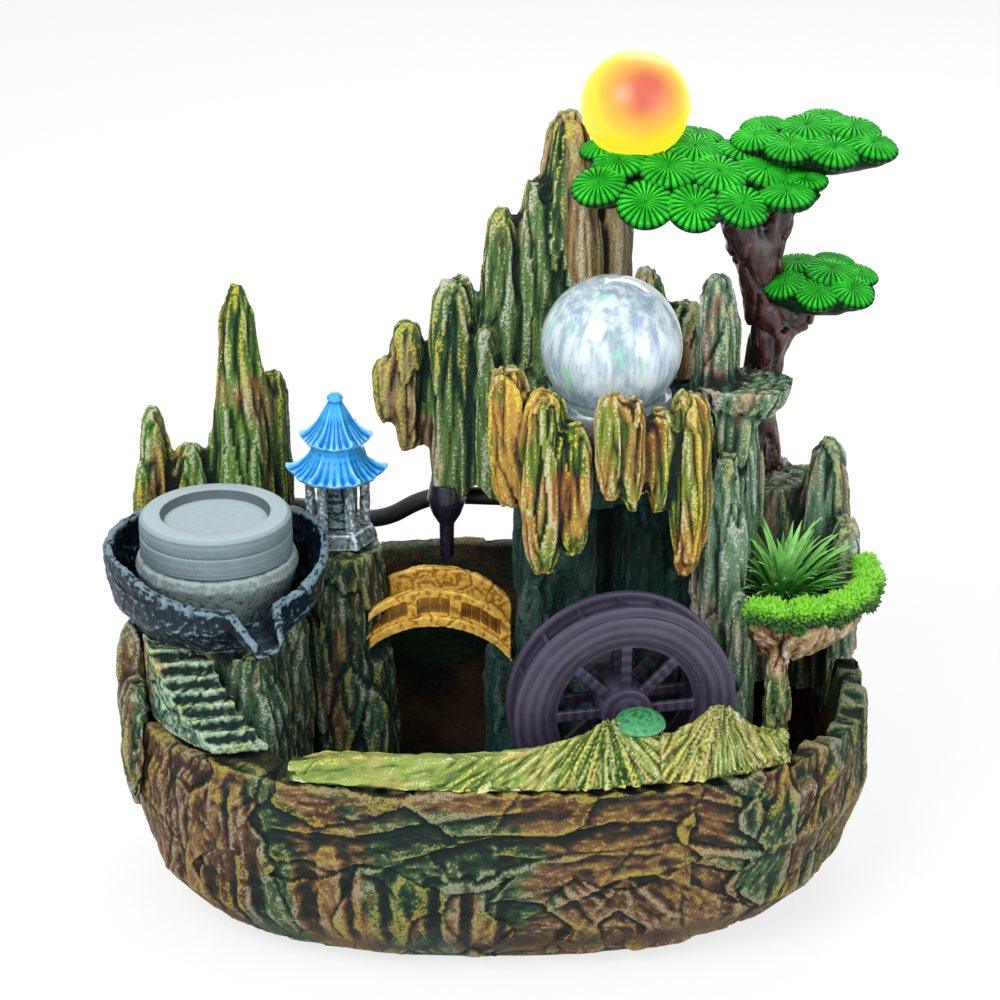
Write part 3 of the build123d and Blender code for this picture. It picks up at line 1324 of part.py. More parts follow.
def make_pump():
    """The pump's pieces: body, intake cover, rotor, shaft, suckers and the flow knob."""
    cover_x, volute_x, motor_x, end_x = pump_places()
    motor = Pos((motor_x + end_x) / 2, 0, 0) * Box(PUMP_MOTOR_LENGTH, PUMP_MOTOR_WIDTH, PUMP_MOTOR_HEIGHT)
    motor = fillet(motor.edges().filter_by(Axis.X), 3.0)
    nipple = drum(PUMP_NIPPLE_RADIUS, PUMP_VOLUTE_RADIUS + PUMP_NIPPLE_LENGTH)
    body = motor + along_x(PUMP_VOLUTE_RADIUS, volute_x, motor_x + 1.0) + nipple
    magnet_end = motor_x + PUMP_MAGNET_LENGTH
    body = body - along_x(PUMP_VOLUTE_BORE, volute_x - 1.0, motor_x)
    body = body - along_x(PUMP_MAGNET_RADIUS + 2 * RUNNING_GAP, motor_x - 1.0, magnet_end + 2 * RUNNING_GAP)
    body = body - drum(HOSE_BORE_RADIUS, 2 * (PUMP_VOLUTE_RADIUS + PUMP_NIPPLE_LENGTH))
    shaft_end = magnet_end + 6.0
    shaft = along_x(PUMP_SHAFT_RADIUS, volute_x, shaft_end)
    body = carve(body, shaft)

    cover = along_x(PUMP_VOLUTE_RADIUS, cover_x, volute_x)
    for k in range(PUMP_COVER_SLOT_COUNT):
        y = (k - (PUMP_COVER_SLOT_COUNT - 1) / 2) * 2.5 * PUMP_COVER_SLOT_WIDTH
        slot = Box(4 * PUMP_COVER_THICKNESS, PUMP_COVER_SLOT_WIDTH, PUMP_COVER_SLOT_LENGTH)
        cover = cover - Pos(cover_x, y, -PUMP_COVER_SLOT_DROP) * slot
    stub = along_x(KNOB_STUB_RADIUS, cover_x - KNOB_THICKNESS, cover_x)
    cover = cover + Pos(0, 0, KNOB_OFFSET) * stub

    rotor_start = motor_x - PUMP_BLADE_LENGTH
    rotor = along_x(PUMP_MAGNET_RADIUS, motor_x + RUNNING_GAP, magnet_end)
    rotor = rotor + along_x(0.5 * PUMP_MAGNET_RADIUS, rotor_start, motor_x + 1.0)
    blade = Pos((rotor_start + motor_x) / 2 - RUNNING_GAP, 0, PUMP_BLADE_RADIUS / 2) * Box(
        PUMP_BLADE_LENGTH - 2 * RUNNING_GAP, PUMP_BLADE_THICKNESS, PUMP_BLADE_RADIUS
    )
    blades = [Rot(360 * k / PUMP_BLADE_COUNT, 0, 0) * blade for k in range(PUMP_BLADE_COUNT)]
    rotor = carve(rotor.fuse(*blades), along_x(PUMP_SHAFT_RADIUS + SHAFT_CLEARANCE, volute_x, shaft_end))

    sucker = drum(PUMP_SUCKER_RADIUS, PUMP_SUCKER_HEIGHT, -PUMP_SUCKER_HEIGHT)
    suckers = []
    for x in (motor_x + PUMP_SUCKER_RADIUS, end_x - PUMP_SUCKER_RADIUS):
        for y in (-1, 1):
            suckers.append(
                Pos(x, y * (PUMP_MOTOR_WIDTH / 2 - PUMP_SUCKER_RADIUS), -PUMP_MOTOR_HEIGHT / 2) * sucker
            )

    knob_x = cover_x - RUNNING_GAP
    knob = along_x(KNOB_RADIUS, knob_x - KNOB_THICKNESS, knob_x)
    tab = Pos(knob_x - KNOB_THICKNESS / 2, 0, KNOB_RADIUS) * Box(KNOB_THICKNESS, KNOB_TAB, KNOB_TAB)
    hole = along_x(KNOB_STUB_RADIUS + SHAFT_CLEARANCE, cover_x - 2 * KNOB_THICKNESS, cover_x)
    knob = Pos(0, 0, KNOB_OFFSET) * carve(knob + tab, hole)

    place = pump_frame()
    return (
        place * body,
        place * main_piece(cover),
        place * rotor,
        place * shaft,
        place * Compound(children=suckers),
        place * knob,
    )


def pump_chamber():
    """The room behind the cliff for the pump, open to the pool on its left, and the tee's duct above it."""
    depth = CHAMBER_FRONT - CHAMBER_BACK
    middle_y = BACK_Y - (CHAMBER_FRONT + CHAMBER_BACK) / 2
    room = Pos(0, middle_y, 0) * Box(2 * CHAMBER_RIGHT, depth, BASIN_FLOOR + CHAMBER_HEIGHT, align=RISING)
    duct = Pos(TEE.X, TEE.Y, 0) * Box(DUCT_SIZE, DUCT_SIZE, TEE.Z + DUCT_HEADROOM, align=RISING)
    return room + duct


def tube(points, radii, radius, bore=0.0):
    """A hose along straight runs joined by tangent arcs."""
    path = FilletPolyline(*points, radius=radii) if len(points) > 2 else Line(*points)
    section = Circle(radius) - Circle(bore) if bore else Circle(radius)
    frame = Plane(origin=path @ 0, z_dir=path % 0)
    return sweep(frame * section, path)


def riser_route():
    """From the pump's nipple straight up to the tee."""
    start = Vector(PUMP.X, PUMP.Y, PUMP.Z + PUMP_VOLUTE_RADIUS + PUMP_NIPPLE_LENGTH)
    return [start, Vector(TEE.X, TEE.Y, TEE.Z - TEE_HALF_LENGTH)]


def ball_route():
    """From the tee's top through the cliff to the jet under the ball."""
    top = CUP_FLOOR_Z + CUP_FLOOR - JET_LENGTH
    start = Vector(TEE.X, TEE.Y, TEE.Z + TEE_HALF_LENGTH)
    end = Vector(BALL.X, BALL.Y, top)
    return [start, start + Vector(0, 0, 15), end - Vector(0, 0, 15), end]


def mill_route():
    """From the tee's left arm, below the hanging rock, behind the pagoda and into the mill bowl's jet."""
    outer, _ = mill_jet_ends()
    start = Vector(TEE.X - TEE_HALF_LENGTH, TEE.Y, TEE.Z)
    return [
        start,
        start - Vector(18, 0, 0),
        Vector(-32, TEE.Y + 10, TEE.Z - 3),
        Vector(-56, TEE.Y + 11, TEE.Z - 18),
        Vector(-84, TEE.Y + 11, outer.Z - 2),
        outer + Vector(3, 26, 0),
        outer + Vector(0, 12, 0),
        outer,
    ]


def even_radii(points):
    """The largest radius that each corner of a route leaves room for."""
    radii = []
    for a, b, c in zip(points, points[1:], points[2:]):
        turn = math.radians((b - a).get_angle(c - b))
        shorter = min((b - a).length, (c - b).length)
        radii.append(0.45 * shorter / math.tan(turn / 2))
    return radii


def make_tee():
    """The branch piece that shares the pump's water between the ball and the mill."""
    half = TEE_HALF_LENGTH
    run = round_bar(TEE - Vector(0, 0, half), TEE + Vector(0, 0, half), TEE_RADIUS)
    arm = round_bar(TEE - Vector(half, 0, 0), TEE, TEE_RADIUS)
    run_bore = round_bar(TEE - Vector(0, 0, half), TEE + Vector(0, 0, half), HOSE_BORE_RADIUS)
    arm_bore = round_bar(TEE - Vector(half, 0, 0), TEE, HOSE_BORE_RADIUS)
    return carve(run + arm, run_bore, arm_bore)


def make_mist_maker():
    """The mist maker's pieces: housing, vibrating disc, light ring and splash guard."""
    place = Pos(MIST)
    well = MIST_HEIGHT - MIST_WELL_DEPTH
    top = MIST_HEIGHT + MIST_GUARD_HEIGHT
    lens = drum(MIST_LENS_RADIUS, MIST_LENS_HEIGHT, MIST_HEIGHT - MIST_LENS_HEIGHT)
    lens = lens - drum(MIST_WELL_RADIUS + MIST_LENS_INSET, 2 * MIST_HEIGHT)
    housing = carve(drum(MIST_RADIUS, MIST_HEIGHT), drum(MIST_WELL_RADIUS, MIST_HEIGHT, well), lens)
    disc = drum(MIST_DISC_RADIUS, MIST_DISC_THICKNESS, well)
    guard = drum(MIST_GUARD_RADIUS, MIST_GUARD_WALL, top - MIST_GUARD_WALL) - drum(MIST_GUARD_HOLE, 2 * top)
    leg = Pos(MIST_LEG_RING, 0, 0) * drum(MIST_LEG_RADIUS, MIST_GUARD_HEIGHT, MIST_HEIGHT)
    legs = [Rot(0, 0, 360 * k / MIST_LEG_COUNT) * leg for k in range(MIST_LEG_COUNT)]
    return place * housing, place * disc, place * lens, place * guard.fuse(*legs)


def build():
    """Every piece by its node's name, each cut clear of the ones that it is set against."""
    nodes = {}
    basin = make_basin()
    nodes["basin"] = basin

    mill_points = mill_route()
    mill_radii = even_radii(mill_points)
    ball_points = ball_route()
    ball_radii = even_radii(ball_points)
    print("mill hose radii", [round(r, 1) for r in mill_radii])
    print("ball hose radii", [round(r, 1) for r in ball_radii])
    mill_bore = tube(mill_points, mill_radii, HOSE_RADIUS + HOSE_ROOM)
    ball_bore = tube(ball_points, ball_radii, HOSE_RADIUS + HOSE_ROOM)
    nodes["riser_hose"] = tube(riser_route(), [], HOSE_RADIUS, HOSE_BORE_RADIUS)
    nodes["ball_hose"] = tube(ball_points, ball_radii, HOSE_RADIUS, HOSE_BORE_RADIUS)
    nodes["mill_hose"] = tube(mill_points, mill_radii, HOSE_RADIUS, HOSE_BORE_RADIUS)
    nodes["hose_tee"] = make_tee()

    bowl = make_mill_bowl()
    bowl_room = bowl_body(SEAT_GAP)
    spout_room = spout_block(SPOUT_REACH + SPOUT_WALL, -SEAT_GAP, 0.0)
    jet_start, jet_end = mill_jet_ends()
    jet_room = round_bar(jet_start, jet_end, HOSE_RADIUS + HOSE_ROOM)
    nodes["mill_bowl"] = bowl
    nodes["mill_jet"] = make_mill_jet()
    nodes["lower_millstone"] = make_lower_stone()
    nodes["mill_pin"] = make_mill_pin()
    nodes["upper_millstone"] = make_upper_stone()

    ball_room = Pos(BALL) * Sphere(BALL_RADIUS + BALL_ROOM)
    cup_place = Pos(BALL.X, BALL.Y, CUP_FLOOR_Z)
    cup_room = cup_place * drum(CUP_RADIUS, BALL_RADIUS)
    jet_bore = cup_place * drum(JET_RADIUS + HOSE_ROOM, JET_LENGTH, -JET_LENGTH)
    nodes["crystal_ball"] = make_ball()
    nodes["ball_cup"] = make_cup()
    nodes["ball_jet"] = make_ball_jet()

    wheel_clear = wheel_room()
    plan = plan_prism()
    outside = skirt()
    ball_seat = ball_room + cup_room
    hose_bores = (jet_bore, ball_bore, mill_bore)
    cliff = carve(make_cliff() & plan, basin, pump_chamber(), wheel_clear, ball_seat, *hose_bores)
    nodes["cliff"] = cliff
    globe_room = Pos(SUN) * Sphere(SUN_RADIUS + SEAT_GAP)
    mountain = carve(make_main_mountain() & plan, cliff, basin, ball_seat, mill_bore, globe_room)
    nodes["main_mountain"] = mountain
    left_ribs = carve(make_left_ribs(), cliff, mountain, ball_seat)
    nodes["left_ribs"] = left_ribs
    right_ribs = carve(make_right_ribs(), cliff, mountain, left_ribs, ball_seat)
    nodes["right_ribs"] = right_ribs
    pillar = carve(make_right_pillar() & plan, basin, cliff, mountain, right_ribs, ball_seat, wheel_clear)
    nodes["right_pillar"] = pillar
    right_rock = carve(make_right_rock(), outside, basin, cliff, pillar, mountain)
    nodes["right_rock"] = right_rock
    nodes["cascade_spout"] = carve(make_cascade(), mountain, mill_bore)

    planter = carve(make_planter(), outside, basin, cliff, pillar, right_rock, wheel_clear)
    nodes["planter"] = planter
    nodes["planter_moss"] = carve(make_moss(), pillar, right_rock)
    nodes["grass_tuft"] = carve(make_grass(), pillar, right_rock)

    stairs = carve(make_stairs(), bowl_room, spout_room)
    nodes["stair_flight"] = stairs
    mill_rock = carve(make_mill_rock(), basin, stairs, bowl_room, spout_room, jet_room, mill_bore)
    nodes["mill_rock"] = mill_rock
    left_mountain = carve(make_left_mountain(), outside, basin, mill_rock, bowl_room, jet_room, mill_bore)
    nodes["left_mountain"] = left_mountain
    left_rocks = (mill_rock, left_mountain)
    pagoda_rock = carve(make_pagoda_rock(), basin, *left_rocks, bowl_room, spout_room, mill_bore)
    nodes["pagoda_rock"] = pagoda_rock
    plinth, columns, lower_roof, upper_roof = make_pagoda()
    nodes["pagoda_plinth"] = carve(plinth, bowl_room, *left_rocks)
    nodes["pagoda_columns"] = columns
    nodes["pagoda_lower_roof"] = lower_roof
    nodes["pagoda_upper_roof"] = upper_roof

    deck, front_rail, rear_rail = make_bridge()
    nodes["bridge_deck"] = carve(deck, pagoda_rock, cliff)
    rails = [carve(rail, pagoda_rock, cliff) for rail in (front_rail, rear_rail)]
    nodes["bridge_rails"] = Compound(children=rails)

    front_ring, rear_ring, paddles, hub, axle = make_wheel()
    nodes["wheel_front_ring"] = front_ring
    nodes["wheel_rear_ring"] = rear_ring
    nodes["wheel_paddles"] = paddles
    nodes["wheel_hub"] = hub
    nodes["wheel_axle"] = axle
    bore = axle_bore()
    front_block = front_bearing_block()
    nodes["rear_bearing"] = carve(rear_bracket_block(), cliff, bore)
    nodes["front_bearing"] = carve(front_block, bore)
    putty = make_putty()
    nodes["axle_putty"] = putty
    nodes["rim_rocks"] = carve(make_rim_rocks(), outside, basin, wheel_clear, front_block, bore, putty)

    globe, lamp_base, led = make_sun()
    nodes["sun_globe"] = globe
    nodes["sun_lamp_base"] = lamp_base
    nodes["sun_led"] = led
    trunk = carve(make_trunk(), pillar, right_rock, cliff)
    nodes["pine_trunk"] = trunk
    upper_left = carve(make_upper_left_pad(), mountain, trunk, lamp_base, globe_room)
    nodes["foliage_upper_left"] = upper_left
    nodes["foliage_upper_right"] = carve(make_upper_right_pad(), upper_left, trunk)
    nodes["foliage_lower"] = carve(make_lower_pad(), trunk)

    body, cover, rotor, shaft, suckers, knob = make_pump()
    nodes["pump_body"] = body
    nodes["pump_cover"] = cover
    nodes["pump_rotor"] = rotor
    nodes["pump_shaft"] = shaft
    nodes["pump_suckers"] = suckers
    nodes["pump_flow_knob"] = knob

    housing, disc, lens, guard = make_mist_maker()
    nodes["mist_housing"] = housing
    nodes["mist_disc"] = disc
    nodes["mist_light_ring"] = lens
    nodes["mist_guard"] = guard
    return nodes


def main():
    """Writes one STEP file per piece."""
    os.makedirs("parts", exist_ok=True)
    for name, shape in build().items():
        export_step(shape, f"parts/{name}.step")


main()
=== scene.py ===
"""Looks of a tabletop rockery fountain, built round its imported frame.

Every rock is remeshed from its solid, carved by one weathering node tree and painted like a dry-brushed
casting. The mill, pagoda, bridge, wheel, ball, pine, planter and pond gear are dressed by their own classes.
Lengths are in metres, +X is right, +Y is back and +Z is up.
"""

import json
import logging
import math
from dataclasses import dataclass
from enum import Enum
from typing import Protocol

import bmesh
import bpy
import numpy as np
from mathutils import Matrix, Vector


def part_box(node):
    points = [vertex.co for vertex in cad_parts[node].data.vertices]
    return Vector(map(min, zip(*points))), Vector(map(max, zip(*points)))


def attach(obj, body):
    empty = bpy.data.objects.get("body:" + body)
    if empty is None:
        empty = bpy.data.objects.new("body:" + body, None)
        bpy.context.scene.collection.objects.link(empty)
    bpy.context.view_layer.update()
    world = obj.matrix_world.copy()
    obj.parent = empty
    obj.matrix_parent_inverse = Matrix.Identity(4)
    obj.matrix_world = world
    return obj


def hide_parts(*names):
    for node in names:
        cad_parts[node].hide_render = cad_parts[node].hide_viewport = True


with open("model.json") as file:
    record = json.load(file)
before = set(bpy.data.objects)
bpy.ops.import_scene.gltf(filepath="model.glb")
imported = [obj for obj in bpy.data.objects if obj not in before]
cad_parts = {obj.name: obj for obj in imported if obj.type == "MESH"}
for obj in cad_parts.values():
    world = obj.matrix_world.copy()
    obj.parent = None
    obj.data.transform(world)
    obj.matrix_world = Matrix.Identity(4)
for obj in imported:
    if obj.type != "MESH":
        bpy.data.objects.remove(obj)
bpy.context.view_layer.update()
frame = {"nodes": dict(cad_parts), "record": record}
LOG = logging.getLogger("fountain")
MM = 0.001
ROCKERY = "rockery"
Socket, Piece = bpy.types.NodeSocket, bpy.types.Object
Mesh, Material = bpy.types.Mesh, bpy.types.Material
Colour = tuple[float, float, float]
Direction = tuple[float, float, float]
Profile = tuple[tuple[float, float], ...]
UP: Direction = (0.0, 0.0, 1.0)


def srgb(red: int, green: int, blue: int) -> Colour:
    """Turns an 8-bit screen colour into linear light.

    Args:
        red: Red from 0 to 255.
        green: Green from 0 to 255.
        blue: Blue from 0 to 255.

    Returns:
        The linear colour.
    """

    def linear(value: int) -> float:
        """Linear light of one channel."""
        share = value / 255
        return share / 12.92 if share <= 0.04045 else ((share + 0.055) / 1.055) ** 2.4

    return linear(red), linear(green), linear(blue)


class Shading(Enum):
    """How a mesh is shaded."""

    SMOOTH = "smooth"
    CREASED = "creased"


class Grain(Enum):
    """Which way the rock's flutes run."""

    UPRIGHT = "upright"
    EVEN = "even"


# Mesh tools


def make_object(name: str, mesh: Mesh) -> Piece:
    """Links a mesh into the scene at the origin.

    Args:
        name: Name of the object and its mesh.
        mesh: The mesh.

    Returns:
        The new object.
    """
    mesh.name = name
    obj = bpy.data.objects.new(name, mesh)
    bpy.context.scene.collection.objects.link(obj)
    return obj


def mesh_from(points: np.ndarray, faces: list[tuple[int, ...]]) -> Mesh:
    """Makes a mesh from points and faces, with its normals outward.

    Args:
        points: One row of x, y, z per vertex.
        faces: Vertex numbers of each face.

    Returns:
        The mesh.
    """
    mesh = bpy.data.meshes.new("shape")
    mesh.from_pydata([tuple(point) for point in points], [], faces)
    work = bmesh.new()
    work.from_mesh(mesh)
    bmesh.ops.remove_doubles(work, verts=work.verts, dist=1e-7)
    bmesh.ops.recalc_face_normals(work, faces=work.faces)
    work.to_mesh(mesh)
    work.free()
    return mesh


def merged_copy(name: str, *nodes: str) -> Piece:
    """Copies CAD nodes into one new object with welded vertices.

    Args:
        name: Name of the new object.
        nodes: CAD nodes to copy.

    Returns:
        The new object.
    """
    work = bmesh.new()
    for node in nodes:
        work.from_mesh(frame["nodes"][node].data)
    bmesh.ops.remove_doubles(work, verts=work.verts, dist=2e-6)
    mesh = bpy.data.meshes.new(name)
    work.to_mesh(mesh)
    work.free()
    return make_object(name, mesh)


def freeze(obj: Piece) -> None:
    """Turns an object's modifiers into plain mesh.

    Args:
        obj: The object.
    """
    bpy.context.view_layer.update()
    graph = bpy.context.evaluated_depsgraph_get()
    mesh = bpy.data.meshes.new_from_object(obj.evaluated_get(graph))
    obj.modifiers.clear()
    old = obj.data
    mesh.name = obj.name
    obj.data = mesh
    bpy.data.meshes.remove(old)


def shade(obj: Piece, how: Shading, angle_deg: float = 35.0) -> None:
    """Shades a mesh smooth, with hard edges over an angle if it is creased.

    Args:
        obj: The object.
        how: Smooth all over, or creased.
        angle_deg: Edges over this angle stay sharp when creased.
    """
    mesh = obj.data
    mesh.polygons.foreach_set("use_smooth", np.ones(len(mesh.polygons), bool))
    if how is Shading.CREASED:
        mesh.set_sharp_from_angle(angle=math.radians(angle_deg))
    mesh.update()


def voxel_remesh(obj: Piece, size: float) -> None:
    """Rebuilds an object's skin from voxels.

    Args:
        obj: The object.
        size: Voxel size in metres.
    """
    remesh = obj.modifiers.new("skin", "REMESH")
    remesh.mode = "VOXEL"
    remesh.voxel_size = size
    freeze(obj)


def gathered(items: bpy.types.bpy_prop_collection, key: str, width: int, kind: type) -> np.ndarray:
    """Reads one property of many mesh elements.

    Args:
        items: The elements.
        key: The property's name.
        width: Numbers in each row.
        kind: The numbers' type.

    Returns:
        One row per element.
    """
    values = np.empty(len(items) * width, kind)
    items.foreach_get(key, values)
    return values.reshape(-1, width)


def vertex_points(mesh: Mesh) -> np.ndarray:
    """Gives a mesh's vertex places as an array of rows."""
    return gathered(mesh.vertices, "co", 3, np.float32).astype(float)


def set_points(mesh: Mesh, points: np.ndarray) -> None:
    """Puts a mesh's vertices at the rows of an array."""
    mesh.vertices.foreach_set("co", points.astype(np.float32).ravel())
    mesh.update()


def vertex_normals(mesh: Mesh) -> np.ndarray:
    """Gives a mesh's vertex normals as an array of rows."""
    return gathered(mesh.vertices, "normal", 3, np.float32).astype(float)


def mesh_edges(mesh: Mesh) -> np.ndarray:
    """Gives a mesh's edges as pairs of vertex numbers."""
    return gathered(mesh.edges, "vertices", 2, np.int32)


def smoothed(points: np.ndarray, edges: np.ndarray, rounds: int, pull: float) -> np.ndarray:
    """Moves each point towards the mean of its neighbours a few times.

    Args:
        points: One row per vertex.
        edges: Pairs of vertex numbers.
        rounds: How many times.
        pull: Share of the way, from 0 to 1.

    Returns:
        The smoothed points.
    """
    count = len(points)
    degree = np.bincount(edges.ravel(), minlength=count).clip(1)[:, None]
    for _ in range(rounds):
        total = np.empty_like(points)
        for axis in range(points.shape[1]):
            column = points[:, axis]
            total[:, axis] = np.bincount(edges[:, 0], column[edges[:, 1]], count)
            total[:, axis] += np.bincount(edges[:, 1], column[edges[:, 0]], count)
        points = points + pull * (total / degree - points)
    return points


def relax(obj: Piece, rounds: int, pull: float = 0.5) -> None:
    """Smooths an object's surface in place."""
    set_points(obj.data, smoothed(vertex_points(obj.data), mesh_edges(obj.data), rounds, pull))


def store(mesh: Mesh, name: str, kind: str, values: np.ndarray) -> None:
    """Stores one value per vertex as a named attribute.

    Args:
        mesh: The mesh.
        name: Attribute's name.
        kind: FLOAT or FLOAT_VECTOR.
        values: One value or row per vertex.
    """
    layer = mesh.attributes.get(name) or mesh.attributes.new(name, kind, "POINT")
    key = "vector" if kind == "FLOAT_VECTOR" else "value"
    layer.data.foreach_set(key, values.astype(np.float32).ravel())


def store_relief(mesh: Mesh) -> None:
    """Stores how far each vertex stands out, ranked from 0 in the deepest groove to 1 on the sharpest edge.

    The relief value takes in broad forms, and the edge value only the fine ones.

    Args:
        mesh: The mesh.
    """
    near_rounds, far_rounds, pull = 5, 22, 0.6
    points, normals, edges = vertex_points(mesh), vertex_normals(mesh), mesh_edges(mesh)
    near = smoothed(points, edges, near_rounds, pull)
    far = smoothed(near, edges, far_rounds, pull)
    height_near = np.einsum("ij,ij->i", points - near, normals)
    height_far = np.einsum("ij,ij->i", points - far, normals)
    both = height_near / height_near.std() + height_far / height_far.std()
    for name, height in (("relief", both), ("edge", height_near)):
        rank = np.empty(len(points))
        rank[np.argsort(height, kind="stable")] = np.linspace(0, 1, len(points))
        store(mesh, name, "FLOAT", rank)


def ring_faces(rings: int, count: int) -> list[tuple[int, ...]]:
    """Lists the faces between closed rings of points that follow each other.

    Args:
        rings: How many rings.
        count: Points in each ring.

    Returns:
        Vertex numbers of each face.
    """
    faces = []
    for low in range(0, (rings - 1) * count, count):
        for i in range(count):
            j = (i + 1) % count
            faces.append((low + i, low + j, low + count + j, low + count + i))
    return faces


def lathe(profile: list[tuple[float, float]], centre: Vector, segments: int = 96) -> Mesh:
    """Turns a profile about an upright axis.

    Args:
        profile: Points of (radius, height) in metres; a radius of 0 closes on the axis.
        centre: Place of the axis at height 0.
        segments: How many sides.

    Returns:
        The turned mesh.
    """
    angles = np.arange(segments) * 2 * math.pi / segments
    rings = []
    for radius, height in profile:
        ring = np.stack([radius * np.cos(angles), radius * np.sin(angles), np.full(segments, height)], 1)
        rings.append(ring + np.array(centre))
    return mesh_from(np.concatenate(rings), ring_faces(len(profile), segments))


# Node tools


class Tree:
    """A small helper that adds and links nodes in a node tree."""

    def __init__(self, tree: bpy.types.NodeTree) -> None:
        """Keeps the tree to work on."""
        self.tree = tree

    def add(self, kind: str, **settings: object) -> bpy.types.Node:
        """Adds a node and sets its properties.

        Args:
            kind: Node type.
            settings: Properties by name.

        Returns:
            The node.
        """
        node = self.tree.nodes.new(kind)
        for key, value in settings.items():
            setattr(node, key, value)
        return node

    def link(self, source: Socket, target: Socket) -> None:
        """Links two sockets."""
        self.tree.links.new(source, target)

    def feed(self, socket: Socket, value: object) -> None:
        """Links a value that is a socket, or else sets it.

        Args:
            socket: The socket to feed.
            value: A socket, or a number or row of numbers.
        """
        if isinstance(value, Socket):
            self.link(value, socket)
        else:
            socket.default_value = value

    def maths(self, operation: str, *values: object) -> Socket:
        """Adds a math node.

        Args:
            operation: Such as ADD or MULTIPLY_ADD.
            values: Numbers or sockets, in the node's order.

        Returns:
            The result's socket.
        """
        node = self.add("ShaderNodeMath", operation=operation)
        for socket, value in zip(node.inputs, values):
            self.feed(socket, value)
        return node.outputs[0]

    def vector_maths(self, operation: str, *values: object, number: bool = False) -> Socket:
        """Adds a vector math node.

        Args:
            operation: Such as ADD or CROSS_PRODUCT.
            values: Vectors or sockets, in the node's order.
            number: Whether the result is a number and not a vector.

        Returns:
            The result's socket.
        """
        node = self.add("ShaderNodeVectorMath", operation=operation)
        for socket, value in zip(node.inputs, values):
            self.feed(socket, value)
        return node.outputs[1 if number else 0]

    def dot(self, vector: Socket, direction: Direction) -> Socket:
        """Adds a dot product and returns its number."""
        return self.vector_maths("DOT_PRODUCT", vector, direction, number=True)

    def length(self, vector: Socket) -> Socket:
        """Adds a vector's length and returns its number."""
        return self.vector_maths("LENGTH", vector, number=True)

    def scaled(self, vector: Socket, factor: Socket) -> Socket:
        """Scales a vector.

        Args:
            vector: The vector's socket.
            factor: The number's socket.

        Returns:
            The scaled vector's socket.
        """
        node = self.add("ShaderNodeVectorMath", operation="SCALE")
        self.link(vector, node.inputs[0])
        self.link(factor, node.inputs["Scale"])
        return node.outputs[0]

    def noise(
        self, vector: object, scale: object, detail: float = 2.0, rough: float = 0.5
    ) -> Socket:
        """Adds a noise texture and returns its factor.

        Args:
            vector: Socket of the place to sample.
            scale: Number or socket.
            detail: Octaves.
            rough: Weight of the finer octaves.

        Returns:
            The factor's socket.
        """
        node = self.add("ShaderNodeTexNoise")
        self.feed(node.inputs["Vector"], vector)
        self.feed(node.inputs["Scale"], scale)
        node.inputs["Detail"].default_value = detail
        node.inputs["Roughness"].default_value = rough
        return node.outputs[0]

    def noises(self, vector: object, scale: float, detail: float, rough: float) -> list[Socket]:
        """Adds a noise texture and returns three independent factors.

        Args:
            vector: Socket of the place to sample.
            scale: Size of the pattern.
            detail: Octaves.
            rough: Weight of the finer octaves.

        Returns:
            The three factors' sockets.
        """
        node = self.noise(vector, scale, detail, rough).node
        split = self.add("ShaderNodeSeparateColor")
        self.link(node.outputs["Color"], split.inputs[0])
        return list(split.outputs)

    def sway(self, value: object, factor: Socket, swing: float) -> Socket:
        """Moves a value up and down by a factor's distance from one half."""
        return self.maths("MULTIPLY_ADD", self.maths("SUBTRACT", factor, 0.5), swing, value)

    def ramp(self, factor: object, stops: list[tuple[float, Colour]]) -> Socket:
        """Adds a colour ramp.

        Args:
            factor: Socket that picks the colour.
            stops: Pairs of (place, colour).

        Returns:
            The colour's socket.
        """
        node = self.add("ShaderNodeValToRGB")
        self.feed(node.inputs[0], factor)
        elements = node.color_ramp.elements
        while len(elements) < len(stops):
            elements.new(0.5)
        for element, (place, colour) in zip(elements, stops):
            element.position = place
            element.color = (*colour, 1.0)
        return node.outputs[0]

    def span(self, value: object, low: float, high: float) -> Socket:
        """Maps a number to 0..1, smoothly and clamped.

        Args:
            value: The number's socket.
            low: What becomes 0.
            high: What becomes 1; it may lie below low.

        Returns:
            The mapped number's socket.
        """
        node = self.add("ShaderNodeMapRange", interpolation_type="SMOOTHSTEP")
        self.feed(node.inputs["Value"], value)
        node.inputs["From Min"].default_value = low
        node.inputs["From Max"].default_value = high
        return node.outputs["Result"]

    def mix(self, factor: object, first: object, second: object) -> Socket:
        """Mixes two colours.

        Args:
            factor: Share of the second colour.
            first: Colour or socket.
            second: Colour or socket.

        Returns:
            The mixed colour's socket.
        """
        node = self.add("ShaderNodeMix", data_type="RGBA")
        self.feed(node.inputs[0], factor)
        for socket, value in ((node.inputs[6], first), (node.inputs[7], second)):
            self.feed(socket, value if isinstance(value, Socket) else (*value, 1.0))
        return node.outputs[2]

    def tint(self, colour: object, other: object, where: object, share: float) -> Socket:
        """Mixes a share of another colour into a colour where a factor says so."""
        return self.mix(self.maths("MULTIPLY", where, share), colour, other)

    def seen(self) -> Socket:
        """Tells rays that show a surface, straight on or in gloss and glass, from those that light it.

        Returns:
            Socket of 1 where it is shown.
        """
        path = self.add("ShaderNodeLightPath")
        seen = self.maths("MAXIMUM", path.outputs["Is Camera Ray"], path.outputs["Is Glossy Ray"])
        return self.maths("MAXIMUM", seen, path.outputs["Is Transmission Ray"])


